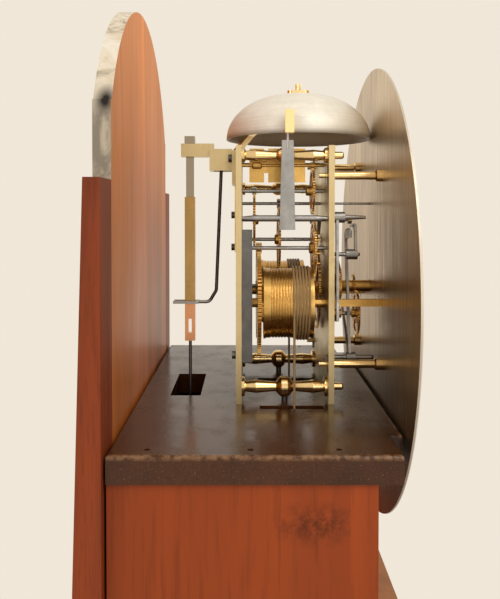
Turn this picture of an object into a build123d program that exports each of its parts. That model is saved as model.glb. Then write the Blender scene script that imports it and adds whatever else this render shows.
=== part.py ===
from build123d import *
import os
from math import atan2, cos, degrees, hypot, pi, radians, sin, sqrt

# Longcase clock with its hood lifted off: arched backboard, seat board, striking movement, dial and case.
# Millimetres. Z is up and 0 on the floor, X is across the clock, and the dial faces -Y.
# Depths are measured forward from the front face of the backboard, heights from the top of the seat board.

# Case
base_box_height = 470.0
base_moulding_height = 40.0
trunk_side_height = 1033.0
trunk_foot = 60.0
seat_thickness = 16.0
trunk_half_width = 162.0
trunk_front_depth = 152.4
side_thickness = 16.0
front_thickness = 15.5
side_gap = 1.5
base_overhang = 30.0
skirting_thickness = 12.0
skirting_height = 110.0
backboard_half_width = 136.0
backboard_thickness = 11.0
strip_half_width = 169.0
strip_top_thickness = 9.3
strip_low_thickness = 16.0
strip_taper_end = -75.0
shoulder_height = 153.0
arch_step_height = 200.0
arch_step = 2.5
arch_top = 283.0
throat_top = -155.0
throat_height = 62.0
throat_projection = 39.6
throat_lip = 9.0
base_moulding_lip = 5.0
skirting_bevel = 7.0
stile_width = 62.0
top_rail_height = 216.0
bottom_rail_height = 90.0
door_gap = 1.0
door_lip = 7.0
door_thickness = 20.0
door_rebate = 8.0
hinge_pin_radius = 2.4
hinge_height = 52.0
hinge_leaf = 1.6
hinge_leaf_width = 13.0
hinge_knuckles = 5
hinge_inset = 70.0
knuckle_gap = 0.15
working_gap = 0.3
door_edge_round = 5.0
lock_inset = 24.0
lock_width = 34.0
lock_height = 46.0
lock_thickness = 5.0
escutcheon_thickness = 1.2
key_radius = 2.2
key_reach = 9.0
key_bow_radius = 8.0

# Seat board
seat_half_width = 164.5
seat_front_depth = 173.0
seat_end_depth = 166.0
seat_middle_half_width = 127.0
pendulum_slot_half_width = 35.0
pendulum_slot_depths = (23.0, 45.3)
line_slot_width = 9.0
line_slot_depths = (88.0, 132.0)
seat_arris = 1.5
nail_radius = 1.8
nail_hole_depth = 5.0
nail_place_x = 154.0
nail_depths = (23.0, 81.5, 131.5)
seat_screw_radius = 2.2

# Movement frame
plate_half_width = 59.0
plate_height = 180.7
plate_thickness = 4.0
back_plate_depth = 71.5
plate_spacing = 60.7
pillar_x = 48.0
lower_pillar_height = 10.0
upper_pillar_height = 174.3
far_pillar_height = 154.0
pillar_pivot_radius = 2.6
pillar_middle_depth = 106.0
pillar_end = 6.5
lower_pillar_radius = 4.7
lower_knop_radius = 7.3
upper_pillar_radius = 4.1
upper_knop_radius = 5.6
taper_pin_radius = 0.7
taper_pin_length = 13.0
end_shake = 0.3
cock_half_width = 18.4
cock_foot_thickness = 3.6
cock_foot_drop = 16.0
cock_block_half_width = 10.0
cock_block_depth = 17.3
cock_block_low = 166.0
cock_block_high = 182.5
cock_wall = 3.0
cock_screw_x = 14.2
cock_screw_height = 175.0
tongue_half_width = 5.0
tongue_thickness = 10.0
tongue_slit = 1.0
plate_screw_radius = 1.6
screw_head = 2.8
screw_inset = 4.0
stand_x = 24.0
stand_half_width = 5.0
stand_thickness = 2.2
stand_low = 102.0
stand_rise = 4.0
stand_bend = 14.0
stand_bend_radius = 12.0
stand_screw_spacing = 30.0
hammer_spring_x = -57.5
hammer_spring_thickness = 1.2
hammer_spring_width = 7.5
hammer_spring_low = 29.0
hammer_spring_high = 122.0
hammer_spring_foot = 9.0

# Train: places of the arbors across and above the seat board, tooth counts
barrel_x = 41.0
barrel_height = 68.9
barrel_core_radius = 25.0
line_radius = 0.85
line_pitch = 2.15
drum_length = 35.0
drum_depth = 91.0
cap_thickness = 1.5
barrel_cap_radius = 25.6
barrel_arbor_radius = 3.4
winding_square = 5.0
ratchet_radius = 14.0
ratchet_root = 12.4
ratchet_teeth = 28
ratchet_thickness = 1.3
click_length = 7.0
click_width = 3.4
click_thickness = 1.3
great_depth = 86.6
great_thickness = 2.6
strike_great_teeth = 84
going_great_teeth = 96
great_pinion_leaves = 8
centre_teeth = 60
third_leaves = 8
third_teeth = 56
escape_leaves = 7
pin_teeth = 64
hoop_leaves = 8
hoop_teeth = 56
warning_leaves = 7
warning_teeth = 48
fly_leaves = 6
pinion_overlap = 0.8
hub_share = 0.24
rim_share = 0.12
arm_width = 2.0
centre_wheel_depth = 132.2
third_wheel_depth = 103.2
escape_wheel_depth = 108.0
escape_root = 15.2
pallet_clearance = 1.4
pallet_angle = radians(45)
hand_thickness = 0.8
seconds_hand_depth = 177.6
centre_arbor_end = 187.0
crutch_depth = 59.4
crutch_foot_depth = 55.3
crutch_bend = 9.0
crutch_radius = 1.3
fork_height = 64.5
fork_thickness = 2.0
fork_gap = 0.4
fork_reach = 9.0
pin_wheel_depth = 126.6
pin_circle = 12.5
strike_pins = 8
strike_pin_radius = 0.8
strike_pin_length = 4.8
hoop_wheel_depth = 83.8
warning_wheel_depth = 126.6
gathering_reach = 4.9
fly_thickness = 0.8
fly_half_width = 12.4
fly_depths = (81.0, 122.0)
fly_notch = 3.0
hammer_arbor_radius = 2.2
hammer_depth = 107.5
hammer_stem_foot = 8.0
hammer_stem_drop = 6.0
hammer_stem_width = 11.0
hammer_stem_thickness = 2.0
hammer_rod_radius = 1.2
hammer_head_width = 6.5
hammer_head_depth = 6.1
hammer_head_height = 16.0
hammer_gap = 0.8
hammer_tail_depths = (128.9, 131.2)
rack_teeth = 12
rack_step = 0.89
rack_inner = 88.5
rack_root = 94.0
rack_tip = 95.6
rack_start_angle = -2.5
rack_end_angle = 15.5
rack_arc_points = 8
rack_arm_angle = 14.0
rack_tail_angle = 52.7
rack_tail_length = 57.0
rack_beak_height = 123.3
hook_gap = 0.5
tail_pin_radius = 1.0
lifting_elbow_height = 60.0
lifting_toe_gap = 19.8
cannon_teeth = 24
minute_teeth = 48
minute_leaves = 12
hour_teeth = 72
date_leaves = 24
date_teeth = 48
rest_minutes = 20
snail_points_per_step = 5
hand_lift = 3.0
hand_spacing = 4.0
hour_hand_length = 92.0
minute_hand_length = 128.0
seconds_hand_length = 27.0
block_depth = 7.9
block_half_width = 3.2
wheel_thickness = 1.6
arbor_radius = 1.4
pivot_radius = 0.7
running_gap = 0.05
centre_place = (0.0, 77.0)
third_place = (4.0, 113.0)
escape_place = (0.0, 140.9)
pallet_place = (0.0, 171.0)
pin_place = (-38.0, 108.25)
hoop_place = (-27.0, 128.6)
warning_place = (-27.0, 149.8)
fly_place = (-30.0, 168.4)
hammer_place = (-55.0, 129.8)
escape_radius = 17.5
escape_teeth = 30
minute_place = (-16.0, 57.8)
rack_place = (-30.0, 27.0)
rack_hook_place = (-44.0, 104.0)
lifting_place = (-50.0, 130.5)
barrel_pivot_radius = 2.9
pallet_hole_radius = 6.0
centre_arbor_radius = 1.5
seconds_arbor_radius = 0.9
gathering_arbor_radius = 1.2
post_radius = 1.5
rack_post_radius = 2.0
lifting_post_radius = 1.9
lifting_post_reach = 14.0
lifting_hub_length = 9.0
rack_post_reach = 17.0
cannon_pipe_radius = 2.3
bridge_pipe_radius = 3.3
hour_pipe_radius = 4.5
bridge_height = 4.9
bridge_thickness = 1.6
bridge_half_length = 18.0
bridge_foot_radius = 3.2
bridge_pipe_reach = 12.0
cannon_wheel_depth = 142.0
hour_wheel_depth = 148.2
rack_depth = 154.0
date_wheel_depth = 161.0
lever_thickness = 1.8

# Dial and bell
dial_radius = 165.0
dial_height = 77.0
dial_thickness = 1.8
dial_depth = 174.5
bell_radius = 55.5
bell_rim_height = 190.0
bell_top_height = 225.0
bell_depth = 118.8
bell_wall = 2.2
bell_steps = 9
bell_stud_radius = 2.2
bell_nut_top = 233.0
bell_nut_length = 17.0
bell_nut_width = 7.0
bell_nut_thickness = 3.2
dial_hole_gap = 0.6
winding_hole_radius = 5.0
dial_foot_places = ((-50.0, 26.5), (50.0, 25.5), (-50.0, 160.0), (50.0, 172.0))
foot_radius = 3.0
foot_pivot_radius = 1.8
foot_pin_reach = 6.0

# Pendulum and weights
pendulum_depth = 35.0
pendulum_pivot_height = 177.0
pendulum_length = 994.0
bob_radius = 55.0
bob_thickness = 26.0
rod_radius = 1.2
suspension_width = 6.2
spring_half = 0.2
chops_half_width = 4.0
chops_height = 5.5
block_high = 146.0
block_low = 34.5
block_foot = 6.0
block_slot = 2.6
block_slot_height = 11.0
bob_edge = 4.0
nut_height = 8.0
nut_radius = 6.0
nut_overlap = 2.0
rod_tail = 14.0
weight_radius = 22.5
weight_length = 320.0
pulley_drop = 886.0
pulley_groove_radius = 23.5
pulley_rim_radius = 27.0
pulley_thickness = 8.0
pulley_axle_radius = 2.0
stirrup_thickness = 2.2
stirrup_half_width = 5.5
stirrup_drop = 6.0
hook_length = 12.0
hook_radius = 2.2
line_joint_gap = 0.03
strike_line_depth = 111.8
going_line_depth = 112.9

# Worked out from the sizes above
base_front_depth = trunk_front_depth + base_overhang
base_half_width = trunk_half_width + base_overhang
front_depth = base_front_depth + skirting_thickness
back_face_y = (front_depth - strip_low_thickness) / 2
trunk_bottom = base_box_height + base_moulding_height
seat_bottom = trunk_bottom + trunk_side_height
seat_top = seat_bottom + seat_thickness
front_plate_depth = back_plate_depth + plate_thickness + plate_spacing
line_hang = barrel_core_radius + line_radius + running_gap


def y_at(depth):
    """The Y of a depth forward of the backboard's face."""
    return back_face_y - depth


def z_at(height):
    """The Z of a height above the seat board's top."""
    return seat_top + height


def facing(depth, x=0.0, height=0.0):
    """A plane that faces the front, with its origin at a place on the clock."""
    return Plane(origin=(x, y_at(depth), z_at(height)), x_dir=(1, 0, 0), z_dir=(0, -1, 0))


def level(z):
    """A level plane at a Z, with X across and Y running back."""
    return Plane.XY.offset(z)


def add_disc(x, height, near, far, radius, mode=Mode.ADD):
    """A round bar or hole from one depth forward to another."""
    with BuildSketch(facing(near, x, height)) as disc:
        Circle(radius)
    extrude(disc.sketch, far - near, mode=mode)


def add_turning(x, height, outline):
    """A turned piece about a line that runs front to back; outline lists (depth, radius)."""
    side = Plane(origin=(x, y_at(0), z_at(height)), x_dir=(0, -1, 0), z_dir=(-1, 0, 0))
    with BuildSketch(side) as profile:
        with BuildLine():
            Polyline((outline[0][0], 0), *outline, (outline[-1][0], 0), close=True)
        make_face()
    revolve(profile.sketch, axis=Axis((x, 0, z_at(height)), (0, -1, 0)))


def add_upright_turning(x, depth, outline):
    """A turned piece about an upright line; outline lists (radius, height)."""
    side = Plane(origin=(x, y_at(depth), seat_top), x_dir=(1, 0, 0), z_dir=(0, -1, 0))
    with BuildSketch(side) as profile:
        with BuildLine():
            Polyline((0, outline[0][1]), *outline, (0, outline[-1][1]), close=True)
        make_face()
    revolve(profile.sketch, axis=Axis((x, y_at(depth), 0), (0, 0, 1)))


def add_block(x_range, depth_range, z_range, mode=Mode.ADD):
    """A straight block between pairs of X, depth and Z."""
    with BuildSketch(level(z_range[0])) as footprint:
        with Locations(((x_range[0] + x_range[1]) / 2, y_at((depth_range[0] + depth_range[1]) / 2))):
            Rectangle(x_range[1] - x_range[0], depth_range[1] - depth_range[0])
    extrude(footprint.sketch, z_range[1] - z_range[0], mode=mode)


def add_plate(points, near, far, mode=Mode.ADD):
    """A flat piece that faces the front, cut to straight edges between (x, height) points."""
    with BuildSketch(facing(near)) as shape:
        with BuildLine():
            Polyline(*points, close=True)
        make_face()
    extrude(shape.sketch, far - near, mode=mode)


def add_lever(start, end, start_width, end_width, near, far, mode=Mode.ADD):
    """A tapering flat lever between two (x, height) places."""
    length = hypot(end[0] - start[0], end[1] - start[1])
    across = (-(end[1] - start[1]) / length, (end[0] - start[0]) / length)
    corners = []
    for place, half in ((start, start_width / 2), (end, end_width / 2)):
        corners.append((place[0] + across[0] * half, place[1] + across[1] * half))
        corners.append((place[0] - across[0] * half, place[1] - across[1] * half))
    add_plate([corners[0], corners[1], corners[3], corners[2]], near, far, mode)


def save(piece, label):
    """Name a finished piece and write it."""
    piece.part.label = label
    export_step(piece.part, f"parts/{label}.step")
    solids = piece.part.solids()
    print(f"{label}: {len(solids)} solids, {sum(solid.volume for solid in solids):.0f} mm3")


os.makedirs("parts", exist_ok=True)

# Backboard

with BuildPart() as backboard:
    with BuildSketch(facing(-backboard_thickness)):
        with BuildLine():
            Polyline(
                (-backboard_half_width + arch_step, arch_step_height),
                (-backboard_half_width, arch_step_height),
                (-backboard_half_width, -seat_top),
                (backboard_half_width, -seat_top),
                (backboard_half_width, arch_step_height),
                (backboard_half_width - arch_step, arch_step_height),
            )
            ThreePointArc(
                (backboard_half_width - arch_step, arch_step_height),
                (0, arch_top),
                (-backboard_half_width + arch_step, arch_step_height),
            )
        make_face()
    extrude(amount=backboard_thickness)
save(backboard, "backboard")

with BuildPart() as backboard_strips:
    for side in (-1, 1):
        inner = side * backboard_half_width
        outer = side * strip_half_width
        upright = Plane(origin=(inner, y_at(0), seat_top), x_dir=(0, -1, 0), z_dir=(-1, 0, 0))
        with BuildSketch(upright) as strip_section:
            with BuildLine():
                Polyline(
                    (0, shoulder_height),
                    (-strip_top_thickness, shoulder_height),
                    (-strip_low_thickness, strip_taper_end),
                    (-strip_low_thickness, base_box_height - seat_top),
                    (0, base_box_height - seat_top),
                    close=True,
                )
            make_face()
        extrude(strip_section.sketch, inner - outer)
        low_outer = side * (base_half_width - side_thickness)
        add_block(sorted((inner, low_outer)), (-strip_low_thickness, 0), (0, base_box_height))
save(backboard_strips, "backboard_strips")

# Trunk

with BuildPart() as trunk_sides:
    for side in (-1, 1):
        faces = sorted((side * trunk_half_width, side * (trunk_half_width - side_thickness)))
        side_depths = (side_gap, trunk_front_depth - front_thickness)
        add_block(faces, side_depths, (base_box_height - trunk_foot, seat_bottom))
save(trunk_sides, "trunk_sides")

opening_half_width = trunk_half_width - stile_width
opening_low = trunk_bottom + bottom_rail_height
opening_high = seat_bottom - top_rail_height
with BuildPart() as trunk_front_frame:
    front_span = (trunk_front_depth - front_thickness, trunk_front_depth)
    trunk_span = (base_box_height - trunk_foot, seat_bottom)
    add_block((-trunk_half_width, trunk_half_width), front_span, trunk_span)
    add_block(
        (-opening_half_width, opening_half_width), front_span, (opening_low, opening_high), Mode.SUBTRACT
    )
save(trunk_front_frame, "trunk_front_frame")


def moulding_section(projection, height, lip):
    """A cove moulding's section, out from the wall and down from its flat top."""
    cove = min(projection, height) - lip
    with BuildSketch(mode=Mode.PRIVATE) as section:
        with BuildLine():
            Polyline(
                (projection - cove, -height),
                (0, -height),
                (0, 0),
                (projection, 0),
                (projection, -lip),
            )
            cove_radius = 1.05 * hypot(cove, height - lip) / sqrt(2)
            RadiusArc((projection, -lip), (projection - cove, -height), -cove_radius)
        make_face()
    return section.sketch


def add_moulding(half_width, wall_depth, flat_z, projection, height, lip, rising):
    """A cove moulding along the front and both returns, mitred at the front corners."""
    outer_x = half_width + projection
    outer_depth = wall_depth + projection
    up = -1 if rising else 1
    section = moulding_section(projection, height, lip)
    front_plane = Plane(origin=(-outer_x, y_at(wall_depth), flat_z), x_dir=(0, -1, 0), z_dir=(-up, 0, 0))
    front = extrude(front_plane * section, -up * 2 * outer_x, mode=Mode.PRIVATE)
    for side in (-1, 1):
        run_plane = Plane(
            origin=(side * half_width, y_at(0), flat_z), x_dir=(side, 0, 0), z_dir=(0, -side * up, 0)
        )
        run = extrude(run_plane * section, side * up * outer_depth, mode=Mode.PRIVATE)
        mitre = Plane(
            origin=(side * half_width, y_at(wall_depth), flat_z), x_dir=(0, 0, 1), z_dir=(side, 1, 0)
        )
        add(split(run, bisect_by=mitre, keep=Keep.TOP, mode=Mode.PRIVATE))
        front = split(front, bisect_by=mitre, keep=Keep.BOTTOM, mode=Mode.PRIVATE)
    add(front)


with BuildPart() as throat_moulding:
    add_moulding(
        trunk_half_width,
        trunk_front_depth,
        z_at(throat_top),
        throat_projection,
        throat_height,
        throat_lip,
        rising=False,
    )
save(throat_moulding, "throat_moulding")

# Base

with BuildPart() as base_moulding:
    add_moulding(
        trunk_half_width,
        trunk_front_depth,
        base_box_height,
        base_overhang + base_moulding_lip,
        base_moulding_height,
        base_moulding_lip,
        rising=True,
    )
save(base_moulding, "base_moulding")

with BuildPart() as base_front_panel:
    base_front_span = (base_front_depth - front_thickness, base_front_depth)
    add_block((-base_half_width, base_half_width), base_front_span, (0, base_box_height))
save(base_front_panel, "base_front_panel")

with BuildPart() as base_sides:
    for side in (-1, 1):
        faces = sorted((side * base_half_width, side * (base_half_width - side_thickness)))
        add_block(faces, (-strip_low_thickness, base_front_depth - front_thickness), (0, base_box_height))
save(base_sides, "base_sides")

with BuildPart() as skirting:
    skirting_half_width = base_half_width + skirting_thickness
    add_block(
        (-skirting_half_width, skirting_half_width), (-strip_low_thickness, front_depth), (0, skirting_height)
    )
    top_edges = skirting.faces().sort_by(Axis.Z)[-1].edges()
    chamfer(top_edges.filter_by(Axis.X).sort_by(Axis.Y)[:1] + top_edges.filter_by(Axis.Y), skirting_bevel)
    add_block(
        (-base_half_width, base_half_width),
        (-strip_low_thickness, base_front_depth),
        (0, skirting_height),
        Mode.SUBTRACT,
    )
save(skirting, "skirting")

# Trunk door, hung on the right seen from the front

door_half_width = opening_half_width - door_gap
door_low = opening_low + door_gap
door_high = opening_high - door_gap
door_middle = (door_low + door_high) / 2
lip_half_width = opening_half_width + door_lip
door_face_depth = trunk_front_depth + door_rebate
knuckle_radius = (door_rebate + hinge_leaf) / 2
hinge_x = lip_half_width + knuckle_radius + working_gap
hinge_depth = trunk_front_depth + knuckle_radius
hinge_lows = (door_low + hinge_inset, door_high - hinge_inset - hinge_height)
knuckle_length = hinge_height / hinge_knuckles
lock_x = -door_half_width + lock_inset
door_back_depth = door_face_depth - door_thickness

with BuildPart() as trunk_door:
    door_panel_depths = (door_back_depth, door_face_depth)
    add_block(
        (-lip_half_width, lip_half_width),
        (trunk_front_depth + working_gap, door_face_depth),
        (opening_low - door_lip, opening_high + door_lip),
    )
    fillet(trunk_door.faces().sort_by(Axis.Y)[0].edges(), door_edge_round)
    add_block((-door_half_width, door_half_width), door_panel_depths, (door_low, door_high))
    key_place = (lock_x, door_middle - seat_top)
    add_disc(*key_place, door_back_depth, door_face_depth, key_radius + running_gap, Mode.SUBTRACT)
save(trunk_door, "trunk_door")


def add_hinge_round(n, low, radius, mode=Mode.ADD):
    """One knuckle of a hinge, or the hole through it."""
    start = low + n * knuckle_length + knuckle_gap
    with BuildSketch(level(start)) as knuckle:
        with Locations((hinge_x, y_at(hinge_depth))):
            Circle(radius)
    extrude(knuckle.sketch, knuckle_length - 2 * knuckle_gap, mode=mode)
    return (start, start + knuckle_length - 2 * knuckle_gap)


with BuildPart() as door_hinge_case_leaves:
    leaf_edge = hinge_x + knuckle_radius + working_gap
    leaf_depths = (trunk_front_depth, trunk_front_depth + hinge_leaf)
    for low in hinge_lows:
        add_block((leaf_edge, leaf_edge + hinge_leaf_width), leaf_depths, (low, low + hinge_height))
        for n in range(0, hinge_knuckles, 2):
            span = add_hinge_round(n, low, knuckle_radius)
            add_block((hinge_x, leaf_edge), leaf_depths, span)
        with BuildSketch(level(low)) as pin:
            with Locations((hinge_x, y_at(hinge_depth))):
                Circle(hinge_pin_radius)
        extrude(pin.sketch, hinge_height)
save(door_hinge_case_leaves, "door_hinge_case_leaves")

with BuildPart() as door_hinge_door_leaves:
    leaf_edge = hinge_x - knuckle_radius - working_gap
    leaf_depths = (door_face_depth, door_face_depth + hinge_leaf)
    for low in hinge_lows:
        add_block((leaf_edge - hinge_leaf_width, leaf_edge), leaf_depths, (low, low + hinge_height))
        for n in range(1, hinge_knuckles, 2):
            span = add_hinge_round(n, low, knuckle_radius)
            add_block((leaf_edge, hinge_x), leaf_depths, span)
            add_hinge_round(n, low, hinge_pin_radius + running_gap, Mode.SUBTRACT)
save(door_hinge_door_leaves, "door_hinge_door_leaves")

with BuildPart() as door_lock:
    add_block(
        (lock_x - lock_width / 2, lock_x + lock_width / 2),
        (door_back_depth - lock_thickness, door_back_depth),
        (door_middle - lock_height / 2, door_middle + lock_height / 2),
    )
    with BuildSketch(facing(door_face_depth, *key_place)) as escutcheon:
        Ellipse(lock_width * 0.3, lock_height * 0.4)
        Circle(key_radius + running_gap, mode=Mode.SUBTRACT)
    extrude(escutcheon.sketch, escutcheon_thickness)
    add_disc(*key_place, door_back_depth - lock_thickness / 2, door_face_depth + key_reach, key_radius)
    with BuildSketch(Plane.YZ.offset(lock_x)) as key_bow:
        with Locations((y_at(door_face_depth + key_reach + key_bow_radius), door_middle)):
            Circle(key_bow_radius)
            Circle(key_bow_radius - 2 * key_radius * 0.8, mode=Mode.SUBTRACT)
    extrude(key_bow.sketch, key_radius * 0.8, both=True)
save(door_lock, "door_lock")

# Seat board

with BuildPart() as seat_board:
    with BuildSketch(level(seat_bottom)):
        with BuildLine():
            Polyline(
                (-seat_half_width, y_at(side_gap)),
                (-seat_half_width, y_at(seat_end_depth)),
                (-seat_middle_half_width, y_at(seat_end_depth)),
                (-seat_middle_half_width, y_at(seat_front_depth)),
                (seat_middle_half_width, y_at(seat_front_depth)),
                (seat_middle_half_width, y_at(seat_end_depth)),
                (seat_half_width, y_at(seat_end_depth)),
                (seat_half_width, y_at(side_gap)),
                close=True,
            )
        make_face()
    extrude(amount=seat_thickness)
    fillet(seat_board.faces().sort_by(Axis.Z)[-1].edges(), seat_arris)
    whole_board = (seat_bottom, seat_top)
    slot_x = (-pendulum_slot_half_width, pendulum_slot_half_width)
    add_block(slot_x, pendulum_slot_depths, whole_board, Mode.SUBTRACT)
    for barrel_side in (-1, 1):
        line_x = barrel_side * barrel_x - line_hang
        slot_x = (line_x - line_slot_width / 2, line_x + line_slot_width / 2)
        add_block(slot_x, line_slot_depths, whole_board, Mode.SUBTRACT)
    for nail_x in (-nail_place_x, nail_place_x):
        for nail_depth in nail_depths:
            with BuildSketch(level(seat_top - nail_hole_depth)) as nail_hole:
                with Locations((nail_x, y_at(nail_depth))):
                    Circle(nail_radius)
            extrude(nail_hole.sketch, nail_hole_depth, mode=Mode.SUBTRACT)
    for screw_depth in (pillar_middle_depth,):
        for screw_x in (-pillar_x, pillar_x):
            with BuildSketch(level(seat_bottom)) as screw_hole:
                with Locations((screw_x, y_at(screw_depth))):
                    Circle(seat_screw_radius + running_gap)
            extrude(screw_hole.sketch, seat_thickness, mode=Mode.SUBTRACT)
save(seat_board, "seat_board")

# Movement frame. Each pivot hole takes the radius of the pivot that turns in it.

back_plate_face = back_plate_depth + plate_thickness
front_plate_face = front_plate_depth + plate_thickness
arbor_span = (back_plate_face + end_shake, front_plate_depth - end_shake)
pillar_places = (
    (-pillar_x, lower_pillar_height),
    (pillar_x, lower_pillar_height),
    (-pillar_x, upper_pillar_height),
    (pillar_x, far_pillar_height),
)
plain_pivots = (third_place, pin_place, warning_place, fly_place, hammer_place)
barrel_places = ((-barrel_x, barrel_height), (barrel_x, barrel_height))


def add_plate_blank(near):
    """A plate standing on the seat board, with its pillar and pivot holes."""
    far = near + plate_thickness
    add_block((-plate_half_width, plate_half_width), (near, far), (seat_top, z_at(plate_height)))
    for place in pillar_places:
        add_disc(*place, near, near + plate_thickness, pillar_pivot_radius + running_gap, Mode.SUBTRACT)
    for place in plain_pivots:
        add_disc(*place, near, near + plate_thickness, pivot_radius + running_gap, Mode.SUBTRACT)
    for place in barrel_places:
        add_disc(*place, near, near + plate_thickness, barrel_pivot_radius + running_gap, Mode.SUBTRACT)


with BuildPart() as back_plate:
    add_plate_blank(back_plate_depth)
    for place in (centre_place, escape_place, hoop_place):
        add_disc(*place, back_plate_depth, back_plate_face, pivot_radius + running_gap, Mode.SUBTRACT)
    add_disc(*pallet_place, back_plate_depth, back_plate_face, pallet_hole_radius, Mode.SUBTRACT)
save(back_plate, "back_plate")

with BuildPart() as front_plate:
    add_plate_blank(front_plate_depth)
    for place, radius in (
        (centre_place, centre_arbor_radius),
        (escape_place, seconds_arbor_radius),
        (hoop_place, gathering_arbor_radius),
        (pallet_place, pivot_radius),
        (minute_place, post_radius),
        (rack_place, rack_post_radius),
        (rack_hook_place, post_radius),
        (lifting_place, lifting_post_radius),
        *[(foot, foot_pivot_radius) for foot in dial_foot_places],
    ):
        add_disc(*place, front_plate_depth, front_plate_face, radius + running_gap, Mode.SUBTRACT)
save(front_plate, "front_plate")


def baluster(body_radius, knop_radius):
    """The outline of a pillar between the plates, with collars, a middle knop and riveted ends."""
    near, far = back_plate_face, front_plate_depth
    middle = (near + far) / 2
    collar = knop_radius * 0.95
    return [
        (near - plate_thickness, pillar_pivot_radius),
        (near, pillar_pivot_radius),
        (near, collar),
        (near + 2.0, collar),
        (near + 3.0, body_radius * 0.8),
        (near + 10.0, body_radius),
        (middle - 6.0, body_radius * 0.72),
        (middle - 4.2, knop_radius * 0.8),
        (middle - 2.2, knop_radius),
        (middle + 2.2, knop_radius),
        (middle + 4.2, knop_radius * 0.8),
        (middle + 6.0, body_radius * 0.72),
        (far - 10.0, body_radius),
        (far - 3.0, body_radius * 0.8),
        (far - 2.0, collar),
        (far, collar),
        (far, pillar_pivot_radius),
        (far + plate_thickness + pillar_end, pillar_pivot_radius),
        (far + plate_thickness + pillar_end + 1.0, pillar_pivot_radius * 0.7),
    ]


pin_hole_depth = front_plate_face + taper_pin_radius + 0.1

with BuildPart() as pillars:
    for place in pillar_places[:2]:
        add_turning(*place, baluster(lower_pillar_radius, lower_knop_radius))
    for place in pillar_places[2:]:
        add_turning(*place, baluster(upper_pillar_radius, upper_knop_radius))
    for place in pillar_places:
        with BuildSketch(level(z_at(place[1]) - taper_pin_length)) as pin_hole:
            with Locations((place[0], y_at(pin_hole_depth))):
                Circle(taper_pin_radius)
        extrude(pin_hole.sketch, 2 * taper_pin_length, mode=Mode.SUBTRACT)
    for screw_x in (-pillar_x, pillar_x):
        with BuildSketch(level(seat_top)) as screw_hole:
            with Locations((screw_x, y_at(pillar_middle_depth))):
                Circle(seat_screw_radius)
        extrude(screw_hole.sketch, lower_pillar_height, mode=Mode.SUBTRACT)
save(pillars, "pillars")

with BuildPart() as taper_pins:
    for place in pillar_places:
        with BuildSketch(level(z_at(place[1]) - taper_pin_length / 2)) as pin:
            with Locations((place[0], y_at(pin_hole_depth))):
                Circle(taper_pin_radius)
        extrude(pin.sketch, taper_pin_length)
    for place in dial_foot_places:
        with BuildSketch(level(z_at(place[1]) - taper_pin_length / 2)) as pin:
            with Locations((place[0], y_at(front_plate_depth - taper_pin_radius - 0.1))):
                Circle(taper_pin_radius)
        extrude(pin.sketch, taper_pin_length)
save(taper_pins, "taper_pins")

with BuildPart() as dial_feet:
    for place in dial_foot_places:
        add_turning(
            *place,
            [
                (front_plate_depth - foot_pin_reach, foot_pivot_radius),
                (front_plate_face, foot_pivot_radius),
                (front_plate_face, foot_radius),
                (dial_depth - 5.0, foot_radius),
                (dial_depth - 4.0, foot_radius * 1.45),
                (dial_depth, foot_radius * 1.45),
            ],
        )
        with BuildSketch(level(z_at(place[1]) - taper_pin_length)) as pin_hole:
            with Locations((place[0], y_at(front_plate_depth - taper_pin_radius - 0.1))):
                Circle(taper_pin_radius)
        extrude(pin_hole.sketch, 2 * taper_pin_length, mode=Mode.SUBTRACT)
save(dial_feet, "dial_feet")

# Back cock: a foot on the back plate, a hollow block over the crutch's hub and a tongue for the pendulum

cock_foot_depth = back_plate_depth - cock_foot_thickness
cock_wall_depth = cock_foot_depth - cock_block_depth
tongue_end = pendulum_depth - suspension_width / 2 - 3.5

with BuildPart() as back_cock:
    foot_low = pallet_place[1] - cock_foot_drop
    foot_heights = (z_at(foot_low), z_at(plate_height))
    add_block((-cock_half_width, cock_half_width), (cock_foot_depth, back_plate_depth), foot_heights)
    add_block(
        (-cock_block_half_width, cock_block_half_width),
        (cock_wall_depth, cock_foot_depth),
        (z_at(cock_block_low), z_at(cock_block_high)),
    )
    add_block(
        (-cock_block_half_width + cock_wall, cock_block_half_width - cock_wall),
        (cock_wall_depth + cock_wall, cock_foot_depth),
        (z_at(cock_block_low), z_at(cock_block_high - cock_wall)),
        Mode.SUBTRACT,
    )
    tongue_heights = (z_at(pendulum_pivot_height), z_at(pendulum_pivot_height + tongue_thickness))
    tongue_root = cock_wall_depth + cock_wall
    add_block((-tongue_half_width, tongue_half_width), (tongue_end, tongue_root), tongue_heights)
    slit_depths = (pendulum_depth - suspension_width / 2 - 0.4, pendulum_depth + suspension_width / 2 + 0.4)
    add_block((-tongue_slit, tongue_slit), slit_depths, tongue_heights, Mode.SUBTRACT)
    add_disc(*pallet_place, cock_foot_depth, back_plate_depth, pallet_hole_radius, Mode.SUBTRACT)
    add_disc(*pallet_place, cock_wall_depth, tongue_root, pivot_radius + running_gap, Mode.SUBTRACT)
    for screw_x in (-cock_screw_x, cock_screw_x):
        shank = (cock_foot_depth, back_plate_depth, plate_screw_radius)
        add_disc(screw_x, cock_screw_height, *shank, Mode.SUBTRACT)
save(back_cock, "back_cock")

# Bell on its stand, and the spring that returns the hammer

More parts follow.
